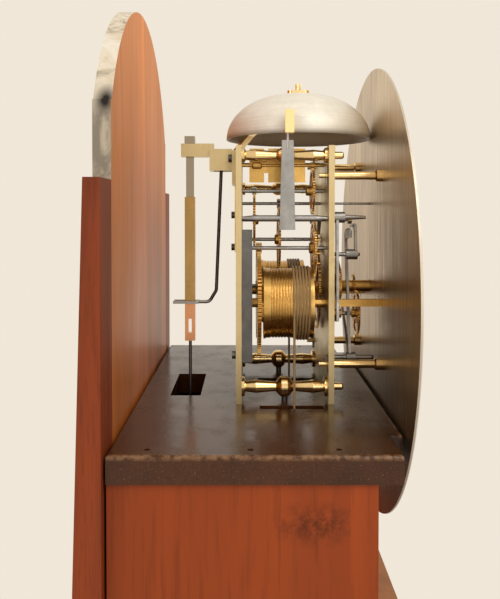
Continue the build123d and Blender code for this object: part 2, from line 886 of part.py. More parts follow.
with BuildPart() as bell_stand:
    stand_rear = back_plate_depth - stand_thickness
    arm_top = z_at(bell_top_height) - bell_wall
    stand_z = (z_at(stand_low), z_at(plate_height + stand_rise))
    stand_sides = (stand_x - stand_half_width, stand_x + stand_half_width)
    add_block(stand_sides, (stand_rear, back_plate_depth), stand_z)
    arm_start = Vector(stand_x, y_at(stand_rear + stand_thickness / 2), 0)
    arm_way = Vector(0, y_at(bell_depth), 0) - arm_start
    arm_plane = Plane(origin=arm_start, x_dir=arm_way, z_dir=arm_way.cross(Vector(0, 0, 1)))
    with BuildSketch(arm_plane) as stand_side:
        with BuildLine():
            FilletPolyline(
                (0, z_at(plate_height + stand_rise / 2)),
                (stand_bend, z_at(bell_rim_height + stand_bend / 2)),
                (arm_way.length + stand_half_width, arm_top - stand_thickness / 2),
                radius=stand_bend_radius,
            )
        trace(line_width=stand_thickness)
    extrude(stand_side.sketch, stand_half_width, both=True)
    with BuildSketch(level(arm_top - stand_thickness)) as stud:
        with Locations((0, y_at(bell_depth))):
            Circle(bell_stud_radius)
    extrude(stud.sketch, z_at(bell_nut_top) - arm_top + stand_thickness)
    with BuildSketch(level(z_at(bell_top_height))) as nut:
        with Locations((0, y_at(bell_depth))):
            SlotOverall(bell_nut_length, bell_nut_width, rotation=90)
            Circle(bell_stud_radius, mode=Mode.SUBTRACT)
    extrude(nut.sketch, bell_nut_thickness)
save(bell_stand, "bell_stand")

bell_height = bell_top_height - bell_rim_height


def bell_curve(inset):
    """The bell's section from its crown to its rim, drawn in by the wall where it is the inside."""
    top = bell_top_height - inset
    wide = bell_radius - inset
    return [
        (wide * cos(angle) ** 0.86, bell_rim_height + (top - bell_rim_height) * sin(angle))
        for angle in [radians(90 - 90 * n / bell_steps) for n in range(bell_steps + 1)]
    ]


with BuildPart() as bell:
    bell_plane = Plane(origin=(0, y_at(bell_depth), seat_top), x_dir=(1, 0, 0), z_dir=(0, -1, 0))
    with BuildSketch(bell_plane) as section:
        with BuildLine():
            Spline(*bell_curve(0.0))
            Line((bell_radius, bell_rim_height), (bell_radius - bell_wall, bell_rim_height))
            Spline(*bell_curve(bell_wall))
            Line((0, bell_top_height - bell_wall), (0, bell_top_height))
        make_face()
    revolve(section.sketch, axis=Axis((0, y_at(bell_depth), 0), (0, 0, 1)))
    with BuildSketch(level(z_at(bell_rim_height))) as bell_hole:
        with Locations((0, y_at(bell_depth))):
            Circle(bell_stud_radius + running_gap)
    extrude(bell_hole.sketch, bell_height + 1, mode=Mode.SUBTRACT)
save(bell, "bell")

with BuildPart() as hammer_spring:
    spring_depths = (back_plate_face, back_plate_face + hammer_spring_width)
    add_block(
        (hammer_spring_x, hammer_spring_x + hammer_spring_thickness),
        (spring_depths[0] + working_gap, spring_depths[1]),
        (z_at(hammer_spring_low), z_at(hammer_spring_high)),
    )
    foot_heights = (z_at(hammer_spring_low), z_at(hammer_spring_low + hammer_spring_foot))
    foot_depths = (back_plate_face, back_plate_face + stand_thickness)
    add_block((hammer_spring_x, hammer_spring_x + hammer_spring_foot), foot_depths, foot_heights)
save(hammer_spring, "hammer_spring")

with BuildPart() as steel_screws:
    for screw_x in (-cock_screw_x, cock_screw_x):
        add_disc(screw_x, cock_screw_height, cock_foot_depth, back_plate_depth, plate_screw_radius)
        add_disc(screw_x, cock_screw_height, cock_foot_depth - screw_head, cock_foot_depth, screw_head)
    for height in (stand_low + screw_inset, stand_low + stand_screw_spacing):
        add_disc(stand_x, height, stand_rear - screw_head, stand_rear, screw_head)
    spring_screw = (hammer_spring_x + hammer_spring_foot / 2, hammer_spring_low + hammer_spring_foot / 2)
    add_disc(*spring_screw, back_plate_depth - screw_head, back_plate_depth, screw_head)
    for screw_x in (-pillar_x, pillar_x):
        with BuildSketch(level(seat_bottom)) as shank:
            with Locations((screw_x, y_at(pillar_middle_depth))):
                Circle(seat_screw_radius)
        extrude(shank.sketch, seat_thickness + lower_pillar_height)
        with BuildSketch(level(seat_bottom - 2 * screw_head)) as head:
            with Locations((screw_x, y_at(pillar_middle_depth))):
                RegularPolygon(seat_screw_radius * 2.2, 4)
        extrude(head.sketch, 2 * screw_head)
save(steel_screws, "steel_screws")

# Dial

with BuildPart() as dial:
    add_disc(0, dial_height, dial_depth, dial_depth + dial_thickness, dial_radius)
    for place, radius in (
        (centre_place, hour_pipe_radius + dial_hole_gap),
        (escape_place, seconds_arbor_radius + dial_hole_gap),
        (barrel_places[0], winding_hole_radius),
        (barrel_places[1], winding_hole_radius),
    ):
        add_disc(*place, dial_depth, dial_depth + dial_thickness, radius, Mode.SUBTRACT)
    front_edge = dial.edges().filter_by(GeomType.CIRCLE).sort_by(SortBy.RADIUS)[-2:].sort_by(Axis.Y)[:1]
    chamfer(front_edge, dial_thickness / 3)
save(dial, "dial")

# Posts on the front plate, and the bridge that keeps the hour wheel off the minute work

with BuildPart() as front_studs:
    bridge_back = front_plate_face + bridge_height
    bridge_way = atan2(minute_place[1] - centre_place[1], minute_place[0] - centre_place[0]) - pi / 2
    for side in (-1, 1):
        foot_x = centre_place[0] + side * bridge_half_length * cos(bridge_way)
        foot_height = centre_place[1] + side * bridge_half_length * sin(bridge_way)
        add_disc(foot_x, foot_height, front_plate_face, bridge_back, bridge_foot_radius)
    with BuildSketch(facing(bridge_back, *centre_place)) as bridge_bar:
        SlotCenterToCenter(2 * bridge_half_length, 2 * bridge_foot_radius, rotation=degrees(bridge_way))
    extrude(bridge_bar.sketch, bridge_thickness)
    pipe_span = (bridge_back, hour_wheel_depth + bridge_pipe_reach)
    add_disc(*centre_place, *pipe_span, bridge_pipe_radius)
    add_disc(*centre_place, *pipe_span, cannon_pipe_radius + running_gap, Mode.SUBTRACT)
    add_turning(
        *minute_place,
        [
            (front_plate_depth, post_radius),
            (date_wheel_depth + wheel_thickness + 1.2, post_radius),
            (date_wheel_depth + wheel_thickness + 2.2, post_radius * 0.6),
        ],
    )
    add_turning(
        *rack_place,
        [
            (front_plate_depth, rack_post_radius),
            (front_plate_face, rack_post_radius),
            (front_plate_face, rack_post_radius * 2),
            (front_plate_face + 2.0, rack_post_radius * 2),
            (front_plate_face + 3.0, rack_post_radius),
            (rack_depth + rack_post_reach, rack_post_radius),
            (rack_depth + rack_post_reach + 1.5, rack_post_radius * 0.6),
        ],
    )
    add_turning(
        *rack_hook_place,
        [
            (front_plate_depth, post_radius),
            (rack_depth + 2 * lever_thickness + hook_gap + 1.0, post_radius),
            (rack_depth + 2 * lever_thickness + hook_gap + 2.0, post_radius * 0.6),
        ],
    )
    add_turning(
        *lifting_place,
        [
            (front_plate_depth, lifting_post_radius),
            (front_plate_face + lifting_hub_length, lifting_post_radius),
            (front_plate_face + lifting_hub_length + lifting_post_reach, lifting_post_radius * 0.6),
        ],
    )
save(front_studs, "front_studs")

# Wheels and pinions


def gear_outline(teeth, pitch_radius, addendum, dedendum, root_half, tip_half, aim):
    """Corners of a toothed outline whose first tooth points at an angle; widths are shares of a pitch."""
    step = 2 * pi / teeth
    points = []
    for tooth in range(teeth):
        middle = aim + tooth * step
        for share, radius in (
            (-root_half, pitch_radius - dedendum),
            (-tip_half, pitch_radius + addendum),
            (tip_half, pitch_radius + addendum),
            (root_half, pitch_radius - dedendum),
        ):
            angle = middle + share * step
            points.append((radius * cos(angle), radius * sin(angle)))
    return points


def add_wheel(place, near, teeth, pitch_radius, module, aim, thickness=wheel_thickness, arms=4):
    """A toothed wheel with its rim crossed out to a few arms."""
    outline = gear_outline(teeth, pitch_radius, 0.85 * module, 1.25 * module, 0.36, 0.1, aim)
    with BuildSketch(facing(near, *place)) as blank:
        with BuildLine():
            Polyline(*outline, close=True)
        make_face()
        if arms:
            rim = pitch_radius - 1.25 * module - rim_share * pitch_radius
            Circle(rim, mode=Mode.SUBTRACT)
            Circle(hub_share * pitch_radius)
            for arm in range(arms // 2):
                Rectangle(2 * rim + module, arm_width, rotation=360 / arms * arm + 45)
    extrude(blank.sketch, thickness)


def add_pinion(place, near, far, leaves, pitch_radius, module, aim):
    """A pinion whose gap, not its leaf, points at the wheel that it meshes with."""
    outline = gear_outline(leaves, pitch_radius, 0.7 * module, 1.3 * module, 0.3, 0.08, aim + pi / leaves)
    with BuildSketch(facing(near, *place)) as blank:
        with BuildLine():
            Polyline(*outline, close=True)
        make_face()
    extrude(blank.sketch, far - near)


def pinion_at(wheel_depth):
    """The depths of a pinion that stands a little proud of a wheel on both sides."""
    return wheel_depth - pinion_overlap, wheel_depth + wheel_thickness + pinion_overlap


def angle_between(start, end):
    """The angle from one place on the plates to another."""
    return atan2(end[1] - start[1], end[0] - start[0])


def mesh(wheel_place, pinion_place, teeth, leaves):
    """Pitch radii and module of a wheel and pinion between two arbors."""
    distance = hypot(pinion_place[0] - wheel_place[0], pinion_place[1] - wheel_place[1])
    wheel_pitch = distance * teeth / (teeth + leaves)
    return wheel_pitch, distance - wheel_pitch, 2 * wheel_pitch / teeth


def add_arbor(place, radius, front_radius=pivot_radius, front_end=None, rear_span=None):
    """An arbor between the plates with a pivot at each end, or a longer end through a plate."""
    near, far = arbor_span
    rear_end, rear_shoulder = rear_span or (back_plate_depth, near)
    add_turning(
        *place,
        [
            (rear_end, pivot_radius),
            (rear_shoulder, pivot_radius),
            (rear_shoulder, radius),
            (far, radius),
            (far, front_radius),
            (front_end or front_plate_face, front_radius),
        ],
    )


def add_hub(place, near, far, radius):
    """A brass collet that carries a wheel on its arbor."""
    end = radius * 0.8
    add_turning(*place, [(near, end), (near + 0.8, radius), (far - 0.8, radius), (far, end)])


# Great wheels: each turns on a winding arbor behind its barrel and carries the click for the ratchet

great_wheels = (
    ("strike_great_wheel", barrel_places[0], pin_place, strike_great_teeth),
    ("going_great_wheel", barrel_places[1], centre_place, going_great_teeth),
)
great_front = great_depth + great_thickness
for name, place, driven, teeth in great_wheels:
    pitch, _, module = mesh(place, driven, teeth, great_pinion_leaves)
    with BuildPart() as great_wheel:
        add_wheel(place, great_depth, teeth, pitch, module, angle_between(place, driven), great_thickness, 0)
        add_disc(*place, great_depth, great_front, barrel_arbor_radius + running_gap, Mode.SUBTRACT)
        click_near = place[0] + ratchet_radius + working_gap
        click_heights = (place[1] - click_width / 2, place[1] + click_width / 2)
        add_plate(
            [
                (click_near, click_heights[0]),
                (click_near + click_length, click_heights[0]),
                (click_near + click_length, click_heights[1]),
                (click_near, place[1]),
            ],
            great_front,
            great_front + click_thickness,
        )
    save(great_wheel, name)

# Barrels with their winding arbors, and the line wound on them

barrel_front = drum_depth + drum_length


def helix_point(place, first_depth, turn):
    """A point of the wound line, which rises up the hanging side and winds forward, and its direction."""
    angle = pi - 2 * pi * turn
    point = Vector(
        place[0] + line_hang * cos(angle),
        y_at(first_depth + line_pitch * turn),
        z_at(place[1] + line_hang * sin(angle)),
    )
    around = 2 * pi * line_hang
    direction = Vector(around * sin(angle), -line_pitch, -around * cos(angle)).normalized()
    return point, direction


def biarc_joint(start, start_way, end, end_way):
    """The point where two tangent arcs between two points meet, and their shared direction."""
    span = end - start
    both = start_way + end_way
    spread = 2 * (1 - start_way.dot(end_way))
    reach = (-span.dot(both) + sqrt(span.dot(both) ** 2 + spread * span.dot(span))) / spread
    first = start + start_way * reach
    second = end - end_way * reach
    return (first + second) / 2, (second - first).normalized()


barrels = (
    ("strike", barrel_places[0], strike_line_depth),
    ("going", barrel_places[1], going_line_depth),
)
for name, place, line_depth in barrels:
    with BuildPart() as barrel:
        add_turning(
            *place,
            [
                (back_plate_depth, barrel_pivot_radius),
                (arbor_span[0], barrel_pivot_radius),
                (arbor_span[0], barrel_arbor_radius),
                (drum_depth, barrel_arbor_radius),
                (drum_depth, barrel_cap_radius),
                (drum_depth + cap_thickness, barrel_cap_radius),
                (drum_depth + cap_thickness, barrel_core_radius),
                (barrel_front - cap_thickness, barrel_core_radius),
                (barrel_front - cap_thickness, barrel_cap_radius),
                (barrel_front, barrel_cap_radius),
                (barrel_front, barrel_arbor_radius),
                (arbor_span[1], barrel_arbor_radius),
                (arbor_span[1], barrel_pivot_radius),
                (front_plate_face + 2.0, barrel_pivot_radius),
            ],
        )
        with BuildSketch(facing(front_plate_face + 1.0, *place)) as square:
            Rectangle(winding_square, winding_square)
        extrude(square.sketch, dial_depth + dial_thickness - front_plate_face - 1.0)
        with BuildSketch(facing(drum_depth - ratchet_thickness, *place)) as ratchet:
            with BuildLine():
                tooth_angles = [2 * pi * n / ratchet_teeth for n in range(ratchet_teeth)]
                corners = []
                for angle in tooth_angles:
                    corners.append((ratchet_radius * cos(angle), ratchet_radius * sin(angle)))
                    corners.append((ratchet_root * cos(angle + 0.02), ratchet_root * sin(angle + 0.02)))
                Polyline(*corners, close=True)
            make_face()
        extrude(ratchet.sketch, ratchet_thickness)
        side = Plane(origin=(place[0], y_at(0), z_at(place[1])), x_dir=(0, -1, 0), z_dir=(-1, 0, 0))
        bare_turns = int((line_depth - line_pitch - drum_depth - cap_thickness) / line_pitch)
        for turn in range(bare_turns):
            with BuildSketch(side) as groove:
                groove_radius = barrel_core_radius + line_radius * 0.4
                with Locations((line_depth - (turn + 1) * line_pitch, groove_radius)):
                    Circle(line_radius)
            revolve(groove.sketch, axis=Axis((place[0], 0, z_at(place[1])), (0, -1, 0)), mode=Mode.SUBTRACT)
    save(barrel, f"{name}_barrel")

    halves = int(2 * (barrel_front - cap_thickness - line_radius - line_depth) / line_pitch)
    with BuildPart() as line_turns:
        with BuildLine() as path:
            start, start_way = helix_point(place, line_depth, 0)
            Line(start - start_way * 2 * line_radius, start)
            for half in range(halves):
                start, start_way = helix_point(place, line_depth, half / 2)
                end, end_way = helix_point(place, line_depth, half / 2 + 0.5)
                joint, joint_way = biarc_joint(start, start_way, end, end_way)
                TangentArc(start, joint, tangent=start_way)
                TangentArc(joint, end, tangent=joint_way)
            Line(end, end + end_way * 2 * line_radius)
        with BuildSketch(Plane(origin=path.line @ 0, z_dir=path.line % 0)):
            Circle(line_radius)
        sweep()
    save(line_turns, f"{name}_line_turns")
    turn_points = [helix_point(place, line_depth, n / 24)[0] for n in range(12 * halves)]
    least = min(
        (turn_points[a] - turn_points[b]).length
        for a in range(len(turn_points))
        for b in range(a + 12, len(turn_points))
    )
    print(f"{name} line turns: least gap to itself {least - 2 * line_radius:.2f} mm")

# Going train

with BuildPart() as centre_wheel:
    pitch, _, module = mesh(centre_place, third_place, centre_teeth, third_leaves)
    aim = angle_between(centre_place, third_place)
    add_wheel(centre_place, centre_wheel_depth, centre_teeth, pitch, module, aim)
    _, pitch, module = mesh(barrel_places[1], centre_place, going_great_teeth, great_pinion_leaves)
    aim = angle_between(centre_place, barrel_places[1])
    pinion_span = (great_depth - pinion_overlap, great_front + pinion_overlap)
    add_pinion(centre_place, *pinion_span, great_pinion_leaves, pitch, module, aim)
    add_arbor(centre_place, arbor_radius, centre_arbor_radius, centre_arbor_end)
    add_hub(centre_place, centre_wheel_depth - 2.5, centre_wheel_depth + 1.0, 4.2)
save(centre_wheel, "centre_wheel")

with BuildPart() as third_wheel:
    pitch, _, module = mesh(third_place, escape_place, third_teeth, escape_leaves)
    aim = angle_between(third_place, escape_place)
    add_wheel(third_place, third_wheel_depth, third_teeth, pitch, module, aim)
    _, pitch, module = mesh(centre_place, third_place, centre_teeth, third_leaves)
    aim = angle_between(third_place, centre_place)
    add_pinion(third_place, *pinion_at(centre_wheel_depth), third_leaves, pitch, module, aim)
    add_arbor(third_place, arbor_radius)
    add_hub(third_place, third_wheel_depth - 2.5, third_wheel_depth + 2.6, 4.0)
save(third_wheel, "third_wheel")

with BuildPart() as escape_wheel:
    with BuildSketch(facing(escape_wheel_depth, *escape_place)) as blank:
        with BuildLine():
            step = 2 * pi / escape_teeth
            corners = []
            for tooth in range(escape_teeth):
                tip = escape_radius
                tooth_shape = ((0.0, tip), (0.12, tip - 0.1), (0.3, escape_root), (0.95, escape_root))
                for share, radius in tooth_shape:
                    angle = -(tooth + share) * step
                    corners.append((radius * cos(angle), radius * sin(angle)))
            Polyline(*corners, close=True)
        make_face()
        Circle(escape_root - 2.4, mode=Mode.SUBTRACT)
        Circle(hub_share * escape_radius)
        for arm in range(2):
            Rectangle(2 * escape_root - 3.6, arm_width, rotation=90 * arm)
    extrude(blank.sketch, wheel_thickness)
    _, pitch, module = mesh(third_place, escape_place, third_teeth, escape_leaves)
    aim = angle_between(escape_place, third_place)
    add_pinion(escape_place, *pinion_at(third_wheel_depth), escape_leaves, pitch, module, aim)
    add_arbor(escape_place, arbor_radius * 0.85, seconds_arbor_radius, seconds_hand_depth + hand_thickness)
    add_hub(escape_place, escape_wheel_depth - 2.0, escape_wheel_depth + 2.2, 3.4)
save(escape_wheel, "escape_wheel")

with BuildPart() as pallets_and_crutch:
    rear_span = (cock_wall_depth, cock_wall_depth + cock_wall + end_shake)
    add_arbor(pallet_place, arbor_radius, rear_span=rear_span)
    pallet_span = (escape_wheel_depth - 0.2, escape_wheel_depth + wheel_thickness + 0.2)
    tip_reach = escape_radius + pallet_clearance
    tip = (tip_reach * sin(pallet_angle), escape_place[1] + tip_reach * cos(pallet_angle))
    for side in (-1, 1):
        shoulder = (side * (tip[0] + 2.4), tip[1] + 4.5)
        add_lever(pallet_place, shoulder, 6.5, 4.2, *pallet_span)
        add_plate(
            [
                (side * tip[0], tip[1]),
                (side * (tip[0] + 1.6), tip[1] - 0.3),
                (side * (tip[0] + 4.4), tip[1] + 3.6),
                (side * (tip[0] + 1.5), tip[1] + 6.4),
            ],
            *pallet_span,
        )
    add_hub(pallet_place, pallet_span[0] - 2.0, pallet_span[1] + 2.0, 4.0)
    add_hub(pallet_place, crutch_depth - 1.6, crutch_depth + 1.6, 3.6)
    with BuildLine() as crutch_line:
        FilletPolyline(
            (0, y_at(crutch_depth), z_at(pallet_place[1])),
            (0, y_at(crutch_foot_depth), z_at(fork_height + crutch_bend)),
            (0, y_at(crutch_foot_depth - crutch_bend * 0.6), z_at(fork_height)),
            (0, y_at(pendulum_depth + block_depth / 2 + 1.0), z_at(fork_height)),
            radius=crutch_bend * 0.5,
        )
    with BuildSketch(Plane(origin=crutch_line.line @ 0, z_dir=crutch_line.line % 0)):
        Circle(crutch_radius)
    sweep()
    fork_z = (z_at(fork_height) - fork_thickness / 2, z_at(fork_height) + fork_thickness / 2)
    fork_inner = block_half_width + fork_gap
    fork_outer = fork_inner + fork_thickness
    prong_depths = (pendulum_depth - block_depth / 2 - fork_reach, pendulum_depth + block_depth / 2 + 2.0)
    root_depths = (pendulum_depth + block_depth / 2 + fork_gap, pendulum_depth + block_depth / 2 + 3.0)
    add_block((-fork_outer, fork_outer), root_depths, fork_z)
    for side in (-1, 1):
        add_block(sorted((side * fork_inner, side * fork_outer)), prong_depths, fork_z)
save(pallets_and_crutch, "pallets_and_crutch")

# Pendulum

with BuildPart() as pendulum_block:
    chops_low = pendulum_pivot_height + tongue_thickness + working_gap
    block_depths = (pendulum_depth - block_depth / 2, pendulum_depth + block_depth / 2)
    spring_depths = (pendulum_depth - suspension_width / 2, pendulum_depth + suspension_width / 2)
    chops_heights = (z_at(chops_low), z_at(chops_low + chops_height))
    add_block((-chops_half_width, chops_half_width), block_depths, chops_heights)
    add_block((-spring_half, spring_half), spring_depths, (z_at(block_high), z_at(chops_low)))
    add_block((-block_half_width, block_half_width), block_depths, (z_at(block_low), z_at(block_high)))
    add_block(
        (-block_half_width, block_half_width),
        (pendulum_depth - block_slot / 2, pendulum_depth + block_slot / 2),
        (z_at(block_low + block_foot), z_at(block_low + block_foot + block_slot_height)),
        Mode.SUBTRACT,
    )
save(pendulum_block, "pendulum_block")

bob_height = pendulum_pivot_height - pendulum_length
with BuildPart() as pendulum_rod:
    rod_end = bob_height - bob_radius - nut_height - rod_tail
    add_upright_turning(0, pendulum_depth, [(rod_radius, rod_end), (rod_radius, block_low)])
save(pendulum_rod, "pendulum_rod")

with BuildPart() as pendulum_bob:
    bob_face = (bob_thickness - bob_edge) / 2
    bob_curve = (bob_radius**2 + bob_face**2) / (2 * bob_face)
    side = Plane(origin=(0, y_at(pendulum_depth), z_at(bob_height)), x_dir=(0, -1, 0), z_dir=(-1, 0, 0))
    with BuildSketch(side) as section:
        with BuildLine():
            Line((-bob_thickness / 2, 0), (bob_thickness / 2, 0))
            RadiusArc((bob_thickness / 2, 0), (bob_edge / 2, bob_radius), -bob_curve)
            Line((bob_edge / 2, bob_radius), (-bob_edge / 2, bob_radius))
            RadiusArc((-bob_edge / 2, bob_radius), (-bob_thickness / 2, 0), -bob_curve)
        make_face()
    revolve(section.sketch, axis=Axis((0, 0, z_at(bob_height)), (0, 1, 0)))
    nut_low = bob_height - bob_radius - nut_height
    nut_high = nut_low + nut_height + nut_overlap
    add_upright_turning(0, pendulum_depth, [(nut_radius, nut_low), (nut_radius, nut_high)])
    with BuildSketch(level(z_at(nut_low))) as rod_hole:
        with Locations((0, y_at(pendulum_depth))):
            Circle(rod_radius + running_gap)
    extrude(rod_hole.sketch, 2 * bob_radius + nut_height, mode=Mode.SUBTRACT)
save(pendulum_bob, "pendulum_bob")

# Strike train

with BuildPart() as pin_wheel:
    pitch, _, module = mesh(pin_place, hoop_place, pin_teeth, hoop_leaves)
    add_wheel(pin_place, pin_wheel_depth, pin_teeth, pitch, module, angle_between(pin_place, hoop_place))
    for pin in range(strike_pins):
        angle = 2 * pi * (pin + 0.5) / strike_pins + angle_between(pin_place, hammer_place)
        spot = (pin_place[0] + pin_circle * cos(angle), pin_place[1] + pin_circle * sin(angle))
        add_disc(*spot, pin_wheel_depth - 0.4, pin_wheel_depth + strike_pin_length, strike_pin_radius)
    with BuildSketch(facing(pin_wheel_depth, *pin_place)) as pin_ring:
        Circle(pin_circle + 1.6)
        Circle(pin_circle - 1.6, mode=Mode.SUBTRACT)
    extrude(pin_ring.sketch, wheel_thickness)
    _, pitch, module = mesh(barrel_places[0], pin_place, strike_great_teeth, great_pinion_leaves)
    aim = angle_between(pin_place, barrel_places[0])
    pinion_span = (great_depth - pinion_overlap, great_front + pinion_overlap)
    add_pinion(pin_place, *pinion_span, great_pinion_leaves, pitch, module, aim)
    add_arbor(pin_place, arbor_radius)
    add_hub(pin_place, pin_wheel_depth - 2.5, pin_wheel_depth + 2.6, 4.2)
save(pin_wheel, "pin_wheel")

with BuildPart() as pallet_wheel:
    pitch, _, module = mesh(hoop_place, warning_place, hoop_teeth, warning_leaves)
    aim = angle_between(hoop_place, warning_place)
    add_wheel(hoop_place, hoop_wheel_depth, hoop_teeth, pitch, module, aim)
    _, pitch, module = mesh(pin_place, hoop_place, pin_teeth, hoop_leaves)
    aim = angle_between(hoop_place, pin_place)
    add_pinion(hoop_place, *pinion_at(pin_wheel_depth), hoop_leaves, pitch, module, aim)
    add_arbor(hoop_place, arbor_radius, gathering_arbor_radius, rack_depth + lever_thickness + 1.0)
    add_hub(hoop_place, hoop_wheel_depth - 0.3, hoop_wheel_depth + 4.0, 3.6)
    add_disc(*hoop_place, rack_depth - 0.4, rack_depth + lever_thickness + 0.6, gathering_reach * 0.62)
    tail = (hoop_place[0] - gathering_reach, hoop_place[1])
    pallet_widths = (gathering_reach * 0.9, gathering_reach * 0.3)
    add_lever(hoop_place, tail, *pallet_widths, rack_depth, rack_depth + lever_thickness)
save(pallet_wheel, "pallet_wheel")

with BuildPart() as warning_wheel:
    pitch, _, module = mesh(warning_place, fly_place, warning_teeth, fly_leaves)
    aim = angle_between(warning_place, fly_place)
    add_wheel(warning_place, warning_wheel_depth, warning_teeth, pitch, module, aim)
    _, pitch, module = mesh(hoop_place, warning_place, hoop_teeth, warning_leaves)
    aim = angle_between(warning_place, hoop_place)
    add_pinion(warning_place, *pinion_at(hoop_wheel_depth), warning_leaves, pitch, module, aim)
    add_arbor(warning_place, arbor_radius)
    add_hub(warning_place, warning_wheel_depth - 4.0, warning_wheel_depth + 2.4, 3.6)
save(warning_wheel, "warning_wheel")

with BuildPart() as fly:
    add_arbor(fly_place, arbor_radius * 0.85)
    _, pitch, module = mesh(warning_place, fly_place, warning_teeth, fly_leaves)
    aim = angle_between(fly_place, warning_place)
    add_pinion(fly_place, *pinion_at(warning_wheel_depth), fly_leaves, pitch, module, aim)
    half = fly_thickness / 2
    add_plate(
        [
            (fly_place[0] - half, fly_place[1] - fly_half_width),
            (fly_place[0] + half, fly_place[1] - fly_half_width),
            (fly_place[0] + half, fly_place[1] + fly_half_width),
            (fly_place[0] - half, fly_place[1] + fly_half_width),
        ],
        *fly_depths,
    )
    for notch in (0.3, 0.7):
        notch_depth = fly_depths[0] + notch * (fly_depths[1] - fly_depths[0])
        for side in (-1, 1):
            inner = fly_place[1] + side * fly_half_width * 0.45
            outer = fly_place[1] + side * (fly_half_width + 1)
            add_plate(
                [
                    (fly_place[0] - 1, inner),
                    (fly_place[0] + 1, inner),
                    (fly_place[0] + 1, outer),
                    (fly_place[0] - 1, outer),
                ],
                notch_depth - fly_notch / 2,
                notch_depth + fly_notch / 2,
                Mode.SUBTRACT,
            )
    add_hub(fly_place, fly_depths[0] + 2.0, fly_depths[0] + 9.0, 2.6)
save(fly, "fly")

with BuildPart() as hammer:
    add_turning(
        *hammer_place,
        [
            (back_plate_depth, pivot_radius),
            (arbor_span[0], pivot_radius),
            (arbor_span[0], hammer_arbor_radius * 0.6),
            (arbor_span[0] + 8.0, hammer_arbor_radius),
            (arbor_span[1] - 8.0, hammer_arbor_radius),
            (arbor_span[1], hammer_arbor_radius * 0.6),
            (arbor_span[1], pivot_radius),
            (front_plate_face, pivot_radius),
        ],
    )
    stem_foot = (hammer_place[0] - 1.0, hammer_place[1] - hammer_stem_foot)
    stem_top = (-bell_radius - hammer_gap - hammer_head_width / 2, bell_rim_height - hammer_stem_drop)
    stem_wide = Plane(
        origin=(stem_foot[0], y_at(hammer_depth), z_at(stem_foot[1])),
        x_dir=(0, -1, 0),
        z_dir=(stem_top[0] - stem_foot[0], 0, stem_top[1] - stem_foot[1]),
    )
    stem_length = hypot(stem_top[0] - stem_foot[0], stem_top[1] - stem_foot[1])
    with BuildSketch(stem_wide):
        Rectangle(hammer_stem_width, hammer_stem_thickness)
    with BuildSketch(stem_wide.offset(stem_length)):
        Rectangle(hammer_stem_width * 0.73, hammer_stem_thickness)
    loft()
    with BuildSketch(level(z_at(stem_top[1] - 6.0))) as head_rod:
        with Locations((stem_top[0], y_at(hammer_depth))):
            Circle(hammer_rod_radius)
    extrude(head_rod.sketch, bell_rim_height - stem_top[1] + 8.0)
    head_z = (z_at(bell_rim_height - 1.0), z_at(bell_rim_height - 1.0 + hammer_head_height))
    add_block(
        (stem_top[0] - hammer_head_width / 2, stem_top[0] + hammer_head_width / 2),
        (hammer_depth + 1.2 - hammer_head_depth / 2, hammer_depth + 1.2 + hammer_head_depth / 2),
        head_z,
    )
    aim = angle_between(hammer_place, pin_place)
    tail_length = hypot(pin_place[0] - hammer_place[0], pin_place[1] - hammer_place[1])
    tail_length -= pin_circle + strike_pin_radius + working_gap
    tail = (hammer_place[0] + tail_length * cos(aim), hammer_place[1] + tail_length * sin(aim))
    add_lever(hammer_place, tail, hammer_arbor_radius * 2, 2.4, *hammer_tail_depths)
save(hammer, "hammer")

# Striking levers on the front plate


def from_rack(angle, radius):
    """A place at an angle clockwise from upright about the rack's post."""
    return (rack_place[0] + radius * sin(radians(angle)), rack_place[1] + radius * cos(radians(angle)))


lever_front = rack_depth + lever_thickness
gathering_angle = degrees(atan2(hoop_place[0] - rack_place[0], hoop_place[1] - rack_place[1]))
rack_fall = rack_teeth * rack_step
tail_start = from_rack(rack_tail_angle, rack_tail_length)
tail_fallen = from_rack(rack_tail_angle - rack_fall, rack_tail_length)
fallen_reach = hypot(tail_fallen[0] - centre_place[0], tail_fallen[1] - centre_place[1])
start_reach = hypot(tail_start[0] - centre_place[0], tail_start[1] - centre_place[1])
snail_low = fallen_reach - tail_pin_radius - working_gap
snail_high = start_reach - tail_pin_radius - 2 * working_gap

with BuildPart() as rack:
    outline = []
    for n in range(rack_arc_points + 1):
        spread = (rack_end_angle - rack_start_angle) * n / rack_arc_points
        outline.append(from_rack(rack_start_angle + spread, rack_inner))
    tooth_points = [from_rack(rack_end_angle, rack_root)]
    for tooth in reversed(range(rack_teeth + 1)):
        angle = gathering_angle + tooth * rack_step
        tooth_points.append(from_rack(angle + rack_step * 0.9, rack_root))
        tooth_points.append(from_rack(angle + rack_step * 0.35, rack_tip))
        tooth_points.append(from_rack(angle + rack_step * 0.1, rack_root))
    tooth_points.append(from_rack(rack_start_angle, rack_root))
    add_plate(outline + tooth_points, rack_depth, lever_front)
    add_lever(rack_place, from_rack(rack_arm_angle, rack_inner + 1.5), 6.0, 5.0, rack_depth, lever_front)
    add_lever(rack_place, tail_start, 5.0, 3.0, rack_depth, lever_front)
    add_disc(*tail_start, hour_wheel_depth + 2 * wheel_thickness - 0.9, lever_front, tail_pin_radius)
    add_disc(*rack_place, rack_depth - 1.5, lever_front + 3.0, rack_post_radius + 2.2)
    add_disc(*rack_place, rack_depth - 1.5, lever_front + 3.0, rack_post_radius + running_gap, Mode.SUBTRACT)
save(rack, "rack")

